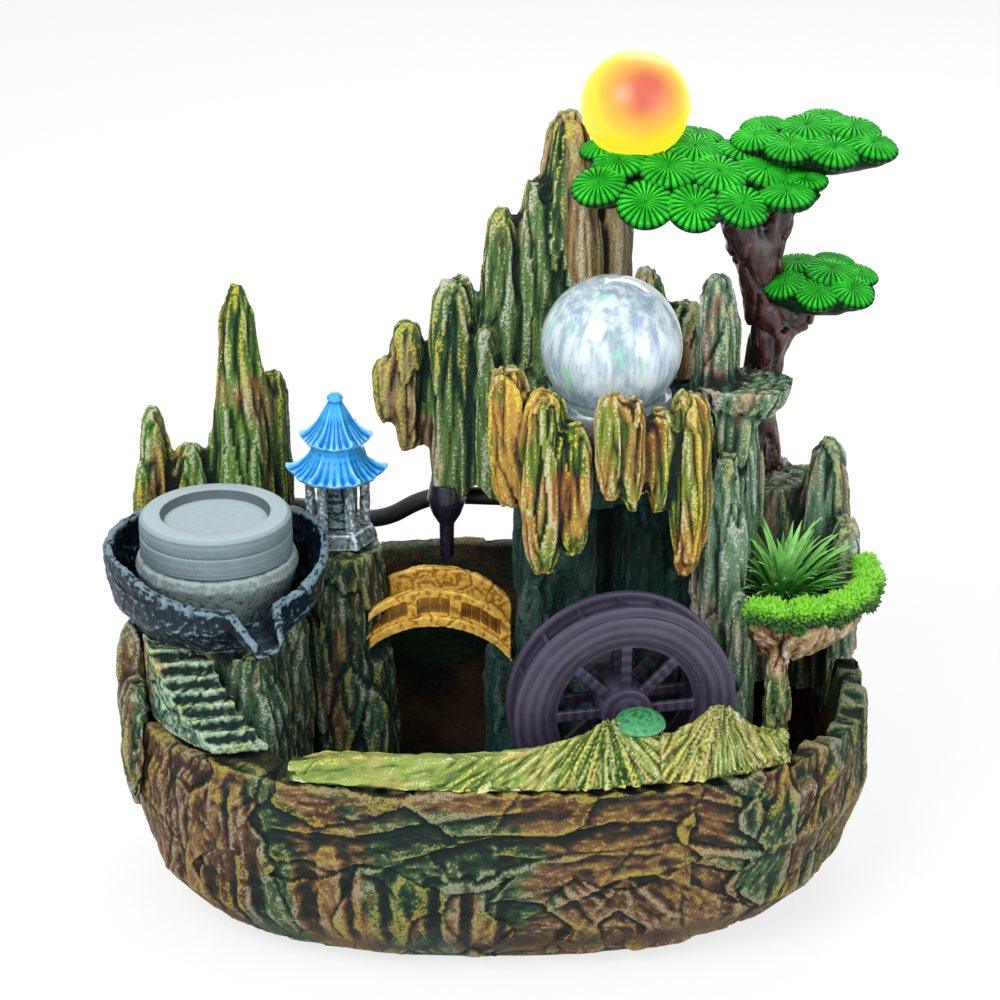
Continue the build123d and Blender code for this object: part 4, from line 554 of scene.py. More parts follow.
class Shader(Tree):
    """A material's node tree with its main shader and object coordinates at hand."""

    def __init__(self, name: str) -> None:
        """Makes the material.

        Args:
            name: Name of the material.
        """
        self.material = bpy.data.materials.new(name)
        self.material.use_nodes = True
        super().__init__(self.material.node_tree)
        self.main = next(node for node in self.tree.nodes if node.type == "BSDF_PRINCIPLED")
        self.place = self.add("ShaderNodeTexCoord").outputs["Object"]

    def stretched(self, x: float, y: float, z: float) -> Socket:
        """Object coordinates scaled along each axis."""
        return self.vector_maths("MULTIPLY", self.place, (x, y, z))

    def attribute(self, name: str) -> Socket:
        """A named number stored on the mesh."""
        return self.add("ShaderNodeAttribute", attribute_name=name).outputs["Fac"]

    def direction(self, name: str) -> Socket:
        """A named vector stored on the mesh."""
        return self.add("ShaderNodeAttribute", attribute_name=name).outputs["Vector"]

    def facing(self, direction: Direction) -> Socket:
        """How far the surface faces a direction, from -1 to 1."""
        return self.dot(self.add("ShaderNodeNewGeometry").outputs["Normal"], direction)

    def height(self) -> Socket:
        """Height above the table.

        Returns:
            The height's socket, in metres.
        """
        split = self.add("ShaderNodeSeparateXYZ")
        self.link(self.place, split.inputs[0])
        return split.outputs[2]

    def bump(self, height: Socket, strength: float, distance: float) -> None:
        """Adds relief to the shading.

        Args:
            height: Socket of the height.
            strength: Share from 0 to 1.
            distance: Height in metres at 1.
        """
        node = self.add("ShaderNodeBump")
        node.inputs["Strength"].default_value = strength
        node.inputs["Distance"].default_value = distance
        self.link(height, node.inputs["Height"])
        self.link(node.outputs[0], self.main.inputs["Normal"])

    def set(self, **values: object) -> None:
        """Sets the main shader's sockets; underscores in a name stand for spaces."""
        for key, value in values.items():
            self.feed(self.main.inputs[key.replace("_", " ")], value)


# Finishes


class Finish(Protocol):
    """Anything that can paint a piece."""

    def material(self) -> Material:
        """Builds the paint."""
        ...


@dataclass(frozen=True)
class RockFinish:
    """Sprayed casting paint: greens and earths along the grain, painted shade in hollows, grooves, the pool
    and the right and back flanks, painted light on the relief, and dry-brushed edges.
    """

    name: str
    greens: tuple[Colour, Colour]
    earths: tuple[Colour, Colour]
    brushes: tuple[Colour, Colour] = (srgb(206, 190, 66), srgb(200, 202, 180))
    # Colour of the painted shade in hollows, in grooves and inside the pool.
    hollow_shade: Colour = srgb(8, 24, 22)
    earth_share: float = 0.5
    brush_share: float = 0.8
    band_scale: float = 75.0
    zone_scale: float = 28.0
    moss_share: float = 0.3
    # Painted shade: faces turned right and back take the darker green.
    shaded_flank_share: float = 0.75
    shaded_flank: Direction = (0.92, 0.38, 0.0)
    # Shares of painted shade in hollows, in grooves and inside the pool.
    hollow_shade_share: float = 0.92
    groove_shade_share: float = 0.6
    pool_shade_share: float = 0.4
    streak_scale: float = 330.0
    grit_scale: float = 620.0
    speck_scale: float = 950.0

    def material(self) -> Material:
        """Builds the paint.

        Returns:
            The material.
        """
        s = Shader(self.name)
        relief, edge = s.attribute("relief"), s.attribute("edge")
        along = s.direction("grain")
        first, second, third = s.noises(along, self.band_scale, 3.0, 0.6)
        zone = s.noise(s.place, self.zone_scale, 2.0, 0.5)
        streak = s.noise(along, self.streak_scale, 3.0, 0.6)
        grit = s.noise(s.place, self.grit_scale, 3.0, 0.65)
        speck = s.noise(s.place, self.speck_scale, 2.0, 0.7)
        share = s.maths("ADD", s.attribute("spray"), self.earth_share)
        lean = s.sway(s.sway(s.sway(share, first, 1.5), zone, 1.6), streak, 0.7)
        # Raised relief picks the lighter green and earth and low relief the darker, painted light and shade;
        # the streaks vary it as real paint does.
        light = s.sway(s.sway(0.5, relief, 0.5), streak, 0.8)
        green = s.mix(s.span(s.sway(light, second, 1.8), 0.15, 0.85), *self.greens)
        earth = s.mix(s.span(s.sway(light, third, 1.8), 0.15, 0.85), *self.earths)
        colour = s.mix(s.span(lean, 0.35, 0.65), green, earth)
        level = s.maths("MULTIPLY", s.span(s.facing(UP), 0.35, 0.9), self.moss_share)
        colour = s.mix(s.maths("MULTIPLY", level, s.span(zone, 0.40, 0.58)), colour, self.greens[1])
        # Painted shade on the right and back flanks.
        turned = s.span(s.sway(s.facing(self.shaded_flank), first, 1.2), 0.30, 0.95)
        colour = s.tint(colour, self.greens[0], turned, self.shaded_flank_share)
        # Painted shade: low relief takes the dark shade colour.
        deep = s.span(s.sway(relief, grit, 0.3), 0.46, 0.04)
        colour = s.tint(colour, self.hollow_shade, deep, self.hollow_shade_share)
        # Painted shade in the fine grooves.
        colour = s.tint(colour, self.hollow_shade, s.span(edge, 0.24, 0.03), self.groove_shade_share)
        raised = s.maths("MULTIPLY_ADD", edge, 0.6, s.maths("MULTIPLY", relief, 0.4))
        raised = s.span(s.sway(s.sway(raised, speck, 1.5), grit, 0.6), 0.68, 0.92)
        brush = s.mix(s.span(second, 0.42, 0.58), *self.brushes)
        colour = s.tint(colour, brush, raised, self.brush_share)
        # Painted shade over the inside of the pool.
        colour = s.tint(colour, self.hollow_shade, s.attribute("inside"), self.pool_shade_share)
        s.set(Base_Color=colour, Roughness=0.6, Specular_IOR_Level=0.25)
        height = s.maths("MULTIPLY_ADD", streak, 1.4, grit)
        s.bump(s.maths("MULTIPLY_ADD", speck, 0.6, height), 0.9, 0.0015)
        return s.material


@dataclass(frozen=True)
class PaintFinish:
    """Brush paint on a small casting: painted shade in grooves, patchy coat and painted highlight on raised
    edges.
    """

    name: str
    coat: Colour
    # Dark is the colour of the painted shade in grooves; light is the painted highlight on raised edges.
    dark: Colour
    light: Colour
    highlight_share: float = 0.7
    roughness: float = 0.5
    patch_scale: float = 120.0
    stroke: tuple[float, float, float] = (1.0, 1.0, 0.3)
    patch_swing: float = 0.5
    specular: float = 0.25

    def material(self) -> Material:
        """Builds the paint.

        Returns:
            The material.
        """
        s = Shader(self.name)
        relief = s.attribute("relief")
        patches = s.noise(s.stretched(*self.stroke), self.patch_scale, 3.0, 0.6)
        grit = s.noise(s.place, 1100.0, 2.0, 0.6)
        value = s.sway(s.sway(relief, patches, self.patch_swing), grit, 0.3)
        # Painted shade: low relief takes the dark colour.
        colour = s.mix(s.span(value, 0.42, 0.06), self.coat, self.dark)
        # Painted highlight: high relief takes the light colour.
        colour = s.tint(colour, self.light, s.span(value, 0.68, 1.0), self.highlight_share)
        s.set(Base_Color=colour, Roughness=self.roughness, Specular_IOR_Level=self.specular)
        s.bump(s.maths("MULTIPLY_ADD", patches, 0.6, grit), 0.4, 0.0005)
        return s.material


@dataclass(frozen=True)
class MouldedFinish:
    """Moulded plastic, rubber or metal with fine mottling and a satin grain."""

    name: str
    colour: Colour
    second: Colour
    roughness: float = 0.4
    metallic: float = 0.0
    scale: float = 300.0
    grain: float = 0.15
    transmission: float = 0.0
    stretch: tuple[float, float, float] = (1.0, 1.0, 1.0)

    def material(self) -> Material:
        """Builds the moulded surface.

        Returns:
            The material.
        """
        s = Shader(self.name)
        mottle = s.noise(s.stretched(*self.stretch), self.scale, 3.0, 0.6)
        fine = s.noise(s.place, 2400.0, 1.0, 0.5)
        s.set(Base_Color=s.mix(s.span(mottle, 0.35, 0.65), self.colour, self.second))
        s.set(Roughness=s.maths("MULTIPLY_ADD", mottle, 0.2, self.roughness - 0.1))
        s.set(Metallic=self.metallic, Transmission_Weight=self.transmission)
        s.bump(fine, self.grain, 0.0003)
        return s.material


@dataclass(frozen=True)
class TurnedStoneFinish:
    """Grey stone turned on a lathe: fine rings round an upright axis, pores, painted light on its top and
    painted shade in the corner of its dish.
    """

    name: str
    axis_x: float
    axis_y: float
    pale: Colour = srgb(120, 138, 143)
    dark: Colour = srgb(88, 105, 111)
    # Painted light for faces that look up.
    top: Colour = srgb(188, 204, 208)
    shadow: Colour = srgb(52, 64, 68)
    dish_radius: float = 23.5 * MM
    rings_per_metre: float = 1400.0

    def material(self) -> Material:
        """Builds the stone.

        Returns:
            The material.
        """
        s = Shader(self.name)
        centred = s.vector_maths("SUBTRACT", s.place, (self.axis_x, self.axis_y, 0.0))
        reach = s.length(s.vector_maths("MULTIPLY", centred, (1.0, 1.0, 0.0)))
        ring = s.add("ShaderNodeCombineXYZ")
        s.link(s.maths("MULTIPLY", reach, self.rings_per_metre), ring.inputs[0])
        s.link(s.maths("MULTIPLY", s.height(), self.rings_per_metre), ring.inputs[1])
        rings = s.noise(ring.outputs[0], 1.0, 2.0, 0.6)
        cloud = s.noise(s.place, 140.0, 4.0, 0.6)
        pores = s.noise(s.place, 1700.0, 2.0, 0.6)
        tone = s.sway(s.sway(s.sway(0.55, rings, 1.1), cloud, 0.35), pores, 0.4)
        colour = s.mix(s.span(tone, 0.2, 0.8), self.dark, self.pale)
        up = s.facing(UP)
        # Painted light: faces that look up grow paler.
        colour = s.tint(colour, self.top, s.span(up, 0.5, 0.95), 0.6)
        # Painted shade in the corner of the dish.
        dish = s.span(reach, self.dish_radius + 0.6 * MM, self.dish_radius - 0.2 * MM)
        corner = s.maths("MULTIPLY", s.span(up, 0.98, 0.6), dish)
        s.set(Base_Color=s.tint(colour, self.shadow, corner, 0.7), Roughness=0.7)
        s.bump(s.maths("MULTIPLY_ADD", rings, 0.8, pores), 0.5, 0.0005)
        return s.material


@dataclass(frozen=True)
class WheelFinish:
    """Dark plum plastic with fine turned grooves round the wheel's axis."""

    name: str
    centre: tuple[float, float, float]
    axis: Direction
    dark: Colour = srgb(46, 41, 56)
    light: Colour = srgb(65, 59, 82)
    groove_pitch: float = 4.6 * MM

    def material(self) -> Material:
        """Builds the plastic.

        Returns:
            The material.
        """
        s = Shader(self.name)
        arm = s.vector_maths("SUBTRACT", s.place, self.centre)
        reach = s.length(s.vector_maths("CROSS_PRODUCT", arm, self.axis))
        turns = s.maths("MULTIPLY", reach, 2 * math.pi / self.groove_pitch)
        groove = s.maths("MULTIPLY_ADD", s.maths("SINE", turns), 0.5, 0.5)
        mottle = s.noise(s.place, 200.0, 3.0, 0.6)
        tone = s.sway(groove, mottle, 1.4)
        s.set(Base_Color=s.mix(s.span(tone, 0.0, 1.0), self.dark, self.light), Roughness=0.42)
        s.bump(groove, 0.35, 0.0006)
        return s.material


@dataclass(frozen=True)
class CrystalFinish:
    """Milky glass with bright and dim upright streaks, faint painted green and violet glints, and a faint
    painted glow.
    """

    name: str
    clear: Colour = srgb(150, 176, 188)
    milk: Colour = srgb(222, 234, 240)
    green: Colour = srgb(150, 226, 176)
    violet: Colour = srgb(176, 178, 236)

    def material(self) -> Material:
        """Builds the glass.

        Returns:
            The material.
        """
        s = Shader(self.name)
        streaks = s.noise(s.stretched(1, 1, 0.22), 260.0, 3.0, 0.65)
        clouds = s.noise(s.place, 55.0, 2.0, 0.5)
        colour = s.mix(s.span(s.sway(clouds, streaks, 1.5), 0.22, 0.78), self.clear, self.milk)
        # Painted glints in green and violet.
        glint = s.noise(s.stretched(1.0, 1.0, 0.35), 150.0, 2.0, 0.5)
        colour = s.tint(colour, self.green, s.span(glint, 0.63, 0.70), 0.6)
        colour = s.tint(colour, self.violet, s.span(glint, 0.37, 0.30), 0.5)
        s.set(Base_Color=colour, Roughness=0.08, Transmission_Weight=0.2, Coat_Weight=0.5, IOR=1.46)
        # A faint painted glow over the ball.
        s.set(Emission_Color=colour, Emission_Strength=0.06)
        return s.material


@dataclass(frozen=True)
class LampGlobeFinish:
    """A lit lamp: one glow at the edge that runs into a blush where it faces the front or the back."""

    name: str
    centre: tuple[float, float, float]
    radius: float
    rim: Colour = srgb(255, 240, 48)
    middle: Colour = srgb(252, 186, 66)
    blush: Colour = srgb(236, 108, 80)
    toward: Direction = (0.12, -0.86, 0.50)

    def material(self) -> Material:
        """Builds the glow.

        Returns:
            The material.
        """
        s = Shader(self.name)
        centred = s.vector_maths("SUBTRACT", s.place, self.centre)
        unit = s.vector_maths("MULTIPLY", centred, (1 / self.radius,) * 3)
        wobble = s.noise(unit, 1.6, 2.0, 0.5)
        value = s.sway(s.maths("ABSOLUTE", s.dot(unit, self.toward)), wobble, 0.12)
        glow = s.ramp(value, [(0.52, self.rim), (0.80, self.middle), (0.96, self.blush)])
        s.set(Base_Color=s.mix(value, (0.02, 0.015, 0.004), (0.03, 0.012, 0.006)), Roughness=0.35)
        s.set(Emission_Color=glow, Emission_Strength=0.95)
        return s.material


@dataclass(frozen=True)
class NeedleFinish:
    """Bright green needles: painted shade between the pleats and painted highlight along their crests."""

    name: str = "pine_needle_paint"
    dark: Colour = srgb(4, 34, 14)
    green: Colour = srgb(8, 146, 16)
    light: Colour = srgb(72, 230, 64)

    def material(self) -> Material:
        """Builds the paint.

        Returns:
            The material.
        """
        s = Shader(self.name)
        pleat = s.attribute("pleat")
        patches = s.noise(s.place, 160.0, 3.0, 0.6)
        grit = s.noise(s.place, 1400.0, 2.0, 0.6)
        value = s.sway(s.sway(pleat, patches, 0.7), grit, 0.35)
        # Painted shade in the grooves between the needles.
        colour = s.mix(s.span(value, 0.70, 0.24), self.green, self.dark)
        # Painted highlight along the needles' crests.
        colour = s.tint(colour, self.light, s.span(value, 0.85, 1.2), 0.85)
        s.set(Base_Color=colour, Roughness=0.5, Specular_IOR_Level=0.15)
        s.bump(grit, 0.3, 0.0004)
        return s.material


@dataclass(frozen=True)
class LeafFinish:
    """Moulded leaf plastic that runs from a dark root to a light tip."""

    name: str
    root: Colour
    tip: Colour
    low_z: float
    high_z: float

    def material(self) -> Material:
        """Builds the leaf plastic.

        Returns:
            The material.
        """
        s = Shader(self.name)
        patches = s.noise(s.place, 260.0, 3.0, 0.6)
        value = s.sway(s.span(s.height(), self.low_z, self.high_z), patches, 1.3)
        s.set(Base_Color=s.mix(s.span(value, 0.0, 1.0), self.root, self.tip), Roughness=0.45)
        s.bump(patches, 0.3, 0.0005)
        return s.material


# Node trees that carve and scatter


class Recipe(Tree):
    """A geometry node tree with named inputs, built once and run on many objects."""

    def __init__(self, name: str, inputs: dict[str, object]) -> None:
        """Makes the tree and its sockets.

        Args:
            name: Name of the tree.
            inputs: Default number of each input, or the kind of socket for one without.
        """
        super().__init__(bpy.data.node_groups.new(name, "GeometryNodeTree"))
        face = self.tree.interface
        face.new_socket("Geometry", in_out="INPUT", socket_type="NodeSocketGeometry")
        self.keys: dict[str, str] = {}
        for title, value in {**inputs, "Material": "Material"}.items():
            kind = value if isinstance(value, str) else "Float"
            socket = face.new_socket(title, in_out="INPUT", socket_type=f"NodeSocket{kind}")
            if not isinstance(value, str):
                socket.default_value = value
            self.keys[title] = socket.identifier
        face.new_socket("Geometry", in_out="OUTPUT", socket_type="NodeSocketGeometry")
        self.source = self.add("NodeGroupInput")

    def given(self, title: str) -> Socket:
        """The value of one of the tree's inputs."""
        return self.source.outputs[title]

    def named(self, name: str, kind: str = "FLOAT_VECTOR") -> Socket:
        """A named attribute of the points.

        Args:
            name: Attribute's name.
            kind: FLOAT or FLOAT_VECTOR.

        Returns:
            The attribute's socket.
        """
        node = self.add("GeometryNodeInputNamedAttribute", data_type=kind)
        node.inputs["Name"].default_value = name
        return node.outputs[0]

    def randoms(self, low: Direction, high: Direction) -> Socket:
        """A random vector for each point, from the tree's seed.

        Args:
            low: Least value along each axis.
            high: Greatest value along each axis.

        Returns:
            The vector's socket.
        """
        node = self.add("FunctionNodeRandomValue", data_type="FLOAT_VECTOR")
        node.inputs[0].default_value = low
        node.inputs[1].default_value = high
        self.link(self.given("Seed"), node.inputs["Seed"])
        return node.outputs[0]

    def instances(self, **sockets: Socket) -> Socket:
        """Sets copies on points.

        Args:
            sockets: What feeds each of the node's inputs, by name.

        Returns:
            The copies' socket.
        """
        node = self.add("GeometryNodeInstanceOnPoints")
        for title, socket in sockets.items():
            self.link(socket, node.inputs[title])
        return node.outputs[0]

    def end(self, geometry: Socket) -> None:
        """Ends the tree in real geometry and its material.

        Args:
            geometry: Socket of the geometry so far.
        """
        real = self.add("GeometryNodeRealizeInstances")
        self.link(geometry, real.inputs[0])
        paint = self.add("GeometryNodeSetMaterial")
        self.link(real.outputs[0], paint.inputs["Geometry"])
        self.link(self.given("Material"), paint.inputs["Material"])
        self.link(paint.outputs[0], self.add("NodeGroupOutput").inputs[0])

    def run(self, obj: Piece, values: dict[str, object]) -> None:
        """Runs the tree on an object and leaves it as plain mesh.

        Args:
            obj: The object.
            values: Inputs that differ from the defaults.
        """
        modifier = obj.modifiers.new(self.tree.name, "NODES")
        modifier.node_group = self.tree
        for title, value in values.items():
            modifier[self.keys[title]] = value
        freeze(obj)


@dataclass(frozen=True)
class Carving:
    """How a casting is carved: depths and spacings in millimetres, and the lift as a share of the depths."""

    flute: float = 1.5
    slab: float = 2.6
    crack: float = 1.2
    chip: float = 0.6
    flute_spacing: float = 6.5
    slab_spacing: float = 13.0
    chip_spacing: float = 4.2
    lift: float = 0.35

    def inputs(self) -> dict[str, float]:
        """Gives the weathering's inputs by name.

        Returns:
            Lengths in metres, and the lift.
        """
        return {
            "Flute Depth": self.flute * MM,
            "Slab Depth": self.slab * MM,
            "Crack Depth": self.crack * MM,
            "Chip Depth": self.chip * MM,
            "Flute Spacing": self.flute_spacing * MM,
            "Slab Spacing": self.slab_spacing * MM,
            "Chip Spacing": self.chip_spacing * MM,
            "Lift": self.lift,
        }


class Weathering(Recipe):
    """The tree that carves flutes, slabs, cracks and chips into a casting's skin."""

    WARP_SCALE = 60.0
    WARP_REACH = (6 * MM,) * 3
    FLUTE_GAIN = 7.0
    CRACK_SHARE = 0.10

    def __init__(self) -> None:
        """Builds the tree once for every casting."""
        super().__init__("casting_weathering", {**Carving().inputs(), "Seed": 0.0})
        seed = self.add("ShaderNodeCombineXYZ")
        for axis in range(3):
            self.link(self.given("Seed"), seed.inputs[axis])
        place = self.vector_maths("ADD", self.named("grain"), seed.outputs[0])
        warp = self.noise(place, self.WARP_SCALE).node
        shift = self.vector_maths("SUBTRACT", warp.outputs["Color"], (0.5, 0.5, 0.5))
        warped = self.vector_maths("ADD", place, self.vector_maths("MULTIPLY", shift, self.WARP_REACH))
        height = self.maths("ADD", self._flutes(warped), self._slabs(warped))
        chip = self.noise(warped, self._per("Chip Spacing"), 3.0, 0.6)
        small = self.maths("MULTIPLY", self.maths("SUBTRACT", chip, 0.5), self.given("Chip Depth"))
        height = self.maths("MULTIPLY_ADD", small, 2.0, height)
        depths = self.maths("ADD", self.given("Flute Depth"), self.given("Slab Depth"))
        rise = self.maths("MULTIPLY", depths, self.maths("SUBTRACT", self.given("Lift"), 0.5))
        height = self.maths("MULTIPLY", self.maths("ADD", height, rise), self.named("carve", "FLOAT"))
        move = self.add("GeometryNodeSetPosition")
        self.link(self.given("Geometry"), move.inputs["Geometry"])
        normal = self.add("GeometryNodeInputNormal").outputs[0]
        self.link(self.scaled(normal, height), move.inputs["Offset"])
        self.end(move.outputs[0])

    def _per(self, spacing: str) -> Socket:
        """The scale of a pattern from its spacing."""
        return self.maths("DIVIDE", 1.0, self.given(spacing))

    def _flutes(self, place: Socket) -> Socket:
        """Flat-topped flutes with narrow grooves between them.

        Args:
            place: Where the pattern is sampled.

        Returns:
            The height's socket.
        """
        noise = self.noise(place, self._per("Flute Spacing"), 1.5, 0.5)
        swing = self.maths("MULTIPLY", self.maths("SUBTRACT", noise, 0.5), self.FLUTE_GAIN)
        top = self.maths("MINIMUM", self.maths("ABSOLUTE", swing), 1.0)
        return self.maths("MULTIPLY", self.maths("SUBTRACT", top, 0.6), self.given("Flute Depth"))

    def _slabs(self, place: Socket) -> Socket:
        """Slabs at different depths with cracks between them.

        Args:
            place: Where the pattern is sampled.

        Returns:
            The height's socket.
        """
        scale = self._per("Slab Spacing")
        cells = self.add("ShaderNodeTexVoronoi", feature="F1")
        border = self.add("ShaderNodeTexVoronoi", feature="DISTANCE_TO_EDGE")
        for node in (cells, border):
            self.link(place, node.inputs["Vector"])
            self.link(scale, node.inputs["Scale"])
        tone = self.add("FunctionNodeSeparateColor")
        self.link(cells.outputs["Color"], tone.inputs[0])
        step = self.maths("MULTIPLY", self.maths("SUBTRACT", tone.outputs[0], 0.5), self.given("Slab Depth"))
        crack = self.span(border.outputs["Distance"], self.CRACK_SHARE, 0.0)
        return self.maths("SUBTRACT", step, self.maths("MULTIPLY", crack, self.given("Crack Depth")))


class Scatter(Recipe):
    """The tree that sets one template on many points, each with its own turn and size."""

    def __init__(self) -> None:
        """Builds the tree once for every scattered piece."""
        super().__init__("scatter_on_points", {"Template": "Object", "Turn Jitter": 0.0, "Seed": "Int"})
        template = self.add("GeometryNodeObjectInfo", transform_space="ORIGINAL")
        self.link(self.given("Template"), template.inputs["Object"])
        swing = self.scaled(self.randoms((-1.0, -1.0, -1.0), (1.0, 1.0, 1.0)), self.given("Turn Jitter"))
        rotation = self.add("FunctionNodeEulerToRotation")
        self.link(self.vector_maths("ADD", self.named("turn"), swing), rotation.inputs[0])
        copies = self.instances(
            Points=self.given("Geometry"),
            Instance=template.outputs["Geometry"],
            Rotation=rotation.outputs[0],
            Scale=self.named("size"),
        )
        self.end(copies)

    def make(
        self,
        name: str,
        template: Mesh,
        rows: list[tuple[Vector, Vector, Vector]],
        material: Material,
        jitter: float,
        seed: int,
    ) -> Piece:
        """Sets a template on every row's place and returns plain mesh.

        Args:
            name: Name of the new object.
            template: Mesh to repeat.
            rows: Place, Euler turn and size of each copy.
            material: Paint of the copies.
            jitter: Random turn in radians added to each copy.
            seed: Seed of the random turn.

        Returns:
            The new object.
        """
        mesh = bpy.data.meshes.new(name)
        mesh.from_pydata([tuple(row[0]) for row in rows], [], [])
        store(mesh, "turn", "FLOAT_VECTOR", np.array([row[1] for row in rows]))
        store(mesh, "size", "FLOAT_VECTOR", np.array([row[2] for row in rows]))
        obj, model = make_object(name, mesh), make_object("template", template)
        self.run(obj, {"Template": model, "Material": material, "Turn Jitter": jitter, "Seed": seed})
        bpy.data.objects.remove(model)
        return obj


class MossClumps(Recipe):
    """The tree that covers a surface with small round clumps."""

    def __init__(self) -> None:
        """Builds the tree."""
        super().__init__("moss_clumps", {"Density": 900000.0, "Clump Size": 1.1 * MM, "Seed": 3.0})
        spots = self.add("GeometryNodeDistributePointsOnFaces", distribute_method="RANDOM")
        self.link(self.given("Geometry"), spots.inputs["Mesh"])
        self.link(self.given("Density"), spots.inputs["Density"])
        self.link(self.given("Seed"), spots.inputs["Seed"])
        ball = self.add("GeometryNodeMeshIcoSphere")
        self.link(self.given("Clump Size"), ball.inputs["Radius"])
        ball.inputs["Subdivisions"].default_value = 1
        clumps = self.instances(
            Points=spots.outputs["Points"],
            Instance=ball.outputs["Mesh"],
            Rotation=spots.outputs["Rotation"],
            Scale=self.randoms((0.3, 0.3, 0.8), (1.3, 1.3, 3.0)),
        )
        join = self.add("GeometryNodeJoinGeometry")
        self.link(self.given("Geometry"), join.inputs[0])
        self.link(clumps, join.inputs[0])
        self.end(join.outputs[0])


# Pieces in general


def body_of(node: str) -> str:
    """Finds the body that carries a CAD node."""
    return next(name for name, nodes in frame["record"]["behaviour"]["bodies"].items() if node in nodes)


def hand_over(obj: Piece, slot: str, *nodes: str) -> Piece:
    """Puts a finished piece on its body in place of its CAD nodes.

    Args:
        obj: The piece.
        slot: Material slot of the record; not used.
        nodes: CAD nodes that it stands for.

    Returns:
        The piece.
    """
    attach(obj, body_of(nodes[0]))
    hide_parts(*nodes)
    LOG.info("%s: %d faces", obj.name, len(obj.data.polygons))
    return obj


def lay_on(obj: Piece) -> None:
    """Puts a finished piece that stands for no CAD node on the fixed body.

    Args:
        obj: The piece.
    """
    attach(obj, ROCKERY)
    LOG.info("%s: %d faces", obj.name, len(obj.data.polygons))


@dataclass
class Casting:
    """A resin casting: the node it stands for, and how it is carved and painted.

    A spray is (x, z, reach along x, reach along z, amount); above zero it adds earth, below zero green.
    The hem is how far the lower edge is ragged, in waves that start at hem_x.
    """

    name: str
    node: str
    slot: str
    finish: Finish
    voxel: float = 1.3 * MM
    soften: int = 3
    grain: Grain = Grain.UPRIGHT
    stretch: float = 0.11
    carving: Carving = Carving()
    sprays: tuple[tuple[float, float, float, float, float], ...] = ()
    hem: float = 0.0
    hem_x: float = -0.0235
    hem_waves: float = 285.0
    plain_foot: float = 4 * MM

    def grain_places(self, points: np.ndarray) -> np.ndarray:
        """Places where the weathering is sampled.

        Args:
            points: Vertex places.

        Returns:
            One sampling place per vertex.
        """
        if self.grain is Grain.UPRIGHT:
            return points * np.array([1.0, 1.0, self.stretch])
        return points

    def shape(self, obj: Piece) -> None:
        """Makes the lower edge ragged, and marks where earth and green are sprayed.

        Args:
            obj: The casting.
        """
        points = vertex_points(obj.data)
        x, y, z = points.T
        if self.hem > 0:
            wave = 0.5 - 0.5 * np.cos((x - self.hem_x) * self.hem_waves + np.sin(y * 260))
            points[:, 2] += self.hem * wave * np.clip(1 - (z - z.min()) / (2.5 * self.hem), 0, 1)
            set_points(obj.data, points)
        spray = np.zeros(len(x))
        for at_x, at_z, wide, high, amount in self.sprays:
            spray += amount * np.exp(-(((x - at_x) / wide) ** 2) - ((z - at_z) / high) ** 2)
        store(obj.data, "spray", "FLOAT", spray)

    def thin(self, obj: Piece) -> None:
        """Takes faces out where they are out of sight; a plain casting keeps them all."""

    def build(self, weathering: Weathering) -> Piece:
        """Makes the casting and puts it on the frame.

        Args:
            weathering: The shared carving tree.

        Returns:
            The finished piece.
        """
        obj = merged_copy(self.name, self.node)
        voxel_remesh(obj, self.voxel * (1.0))
        relax(obj, self.soften)
        self.shape(obj)
        points = vertex_points(obj.data)
        store(obj.data, "grain", "FLOAT_VECTOR", self.grain_places(points))
        store(obj.data, "carve", "FLOAT", np.clip(points[:, 2] / self.plain_foot, 0, 1))
        weathering.run(obj, {**self.carving.inputs(), "Material": self.finish.material()})
        store_relief(obj.data)
        obj.data.attributes.remove(obj.data.attributes["carve"])
        self.thin(obj)
        shade(obj, Shading.SMOOTH)
        return hand_over(obj, self.slot, self.node)


@dataclass
class Moulding:
    """A crisp moulded or machined piece: a copy of its solid with rounded edges."""

    name: str
    node: str
    slot: str
    finish: Finish
    edge: float = 0.4 * MM
    flat_deg: float = 0.6
    sharp_deg: float = 38.0
    crease_deg: float = 30.0

    def build(self) -> Piece:
        """Makes the piece and puts it on the frame.

        Returns:
            The finished piece.
        """
        obj = merged_copy(self.name, self.node)
        work = bmesh.new()
        work.from_mesh(obj.data)
        flat = math.radians(self.flat_deg)
        bmesh.ops.dissolve_limit(work, angle_limit=flat, verts=work.verts, edges=work.edges)
        work.to_mesh(obj.data)
        work.free()
        bevel = obj.modifiers.new("edges", "BEVEL")
        bevel.width = self.edge
        bevel.segments = 2
        bevel.limit_method = "ANGLE"
        bevel.angle_limit = math.radians(self.sharp_deg)
        bevel.use_clamp_overlap = True
        freeze(obj)
        obj.data.materials.clear()
        obj.data.materials.append(self.finish.material())
        shade(obj, Shading.CREASED, self.crease_deg)
        return hand_over(obj, self.slot, self.node)


# The rockery


